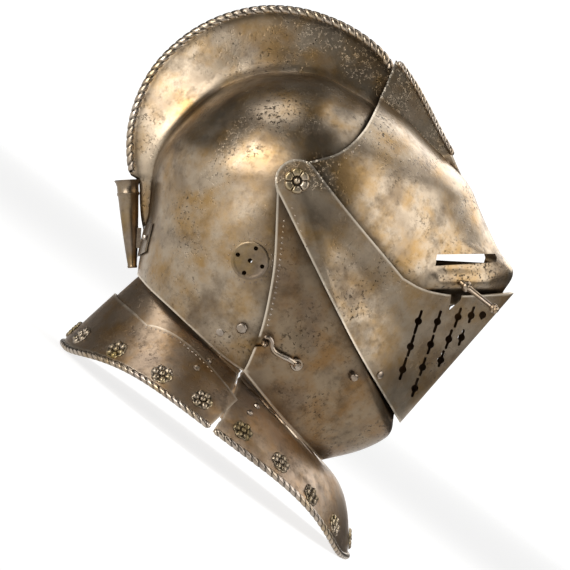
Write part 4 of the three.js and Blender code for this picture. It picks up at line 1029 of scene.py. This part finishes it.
def pale(name, glow):
    """Matt pale paint that glows a little, so that it stays white behind the helmet."""
    material = bpy.data.materials.new(name)
    material.use_nodes = True
    tree = material.node_tree
    tree.nodes.clear()
    surface = node(tree, "BsdfPrincipled", {"Base Color": linear("#8C8B89"), "Roughness": 0.9,
                                            "Emission Color": linear("#FFFFFF"), "Emission Strength": glow})
    node(tree, "OutputMaterial", {"Surface": surface.outputs[0]})
    return material


def stage_panel(name, corners, glow):
    """Flat panel of the studio."""
    mesh = bpy.data.meshes.new(name)
    mesh.from_pydata(corners, [], [(0, 1, 2, 3)])
    mesh.materials.append(pale(name + "_paint", glow))
    made = bpy.data.objects.new(name, mesh)
    bpy.context.scene.collection.objects.link(made)


stage_panel("floor", [(-5, -5, 0), (5, -5, 0), (5, 5, 0), (-5, 5, 0)], 0.8)
stage_panel("backdrop", [(-1.6, 5, 0), (1.6, 5, 0), (1.6, 5, 2.4), (-1.6, 5, 2.4)], 1.0)


def softbox(name, place, size, radiance):
    """Square soft light facing the helmet; its power is the brightness of its face times pi and its area."""
    light = bpy.data.lights.new(name, "AREA")
    light.shape, light.size, light.energy = "SQUARE", size, radiance * math.pi * size * size
    made = bpy.data.objects.new(name, light)
    made.location = place
    made.rotation_euler = Vector(np.array(place) - LOOK_AT).to_track_quat("Z", "Y").to_euler()
    made.visible_camera = False
    bpy.context.scene.collection.objects.link(made)


softbox("key_softbox", (-0.84, -0.93, 0.25), 0.75, 7.6)
softbox("visor_softbox", (0.92, -0.46, 0.88), 1.2, 3.0)
softbox("front_gorget_softbox", (0.45, 0.9, 1.15), 0.9, 3.7)
softbox("rear_gorget_softbox", (-0.98, -0.15, 1.08), 0.6, 3.0)
softbox("top_softbox", (0.1, 0.1, 1.45), 0.8, 1.8)

world = bpy.data.worlds.new("studio")
bpy.context.scene.world = world
world.use_nodes = True
world.node_tree.nodes["Background"].inputs[0].default_value = (0.07, 0.07, 0.07, 1)
bpy.context.scene.view_settings.view_transform = "Standard"

camera_data = bpy.data.cameras.new("camera")
camera_data.lens, camera_data.sensor_width, camera_data.clip_end = 187.8, 36, 50
camera = bpy.data.objects.new("camera", camera_data)
where = LOOK_AT + CAMERA_DISTANCE * BACK
camera.matrix_world = Matrix([[RIGHT[i], UP[i], BACK[i], where[i]] for i in range(3)] + [[0, 0, 0, 1]])
bpy.context.scene.collection.objects.link(camera)
bpy.context.scene.camera = camera
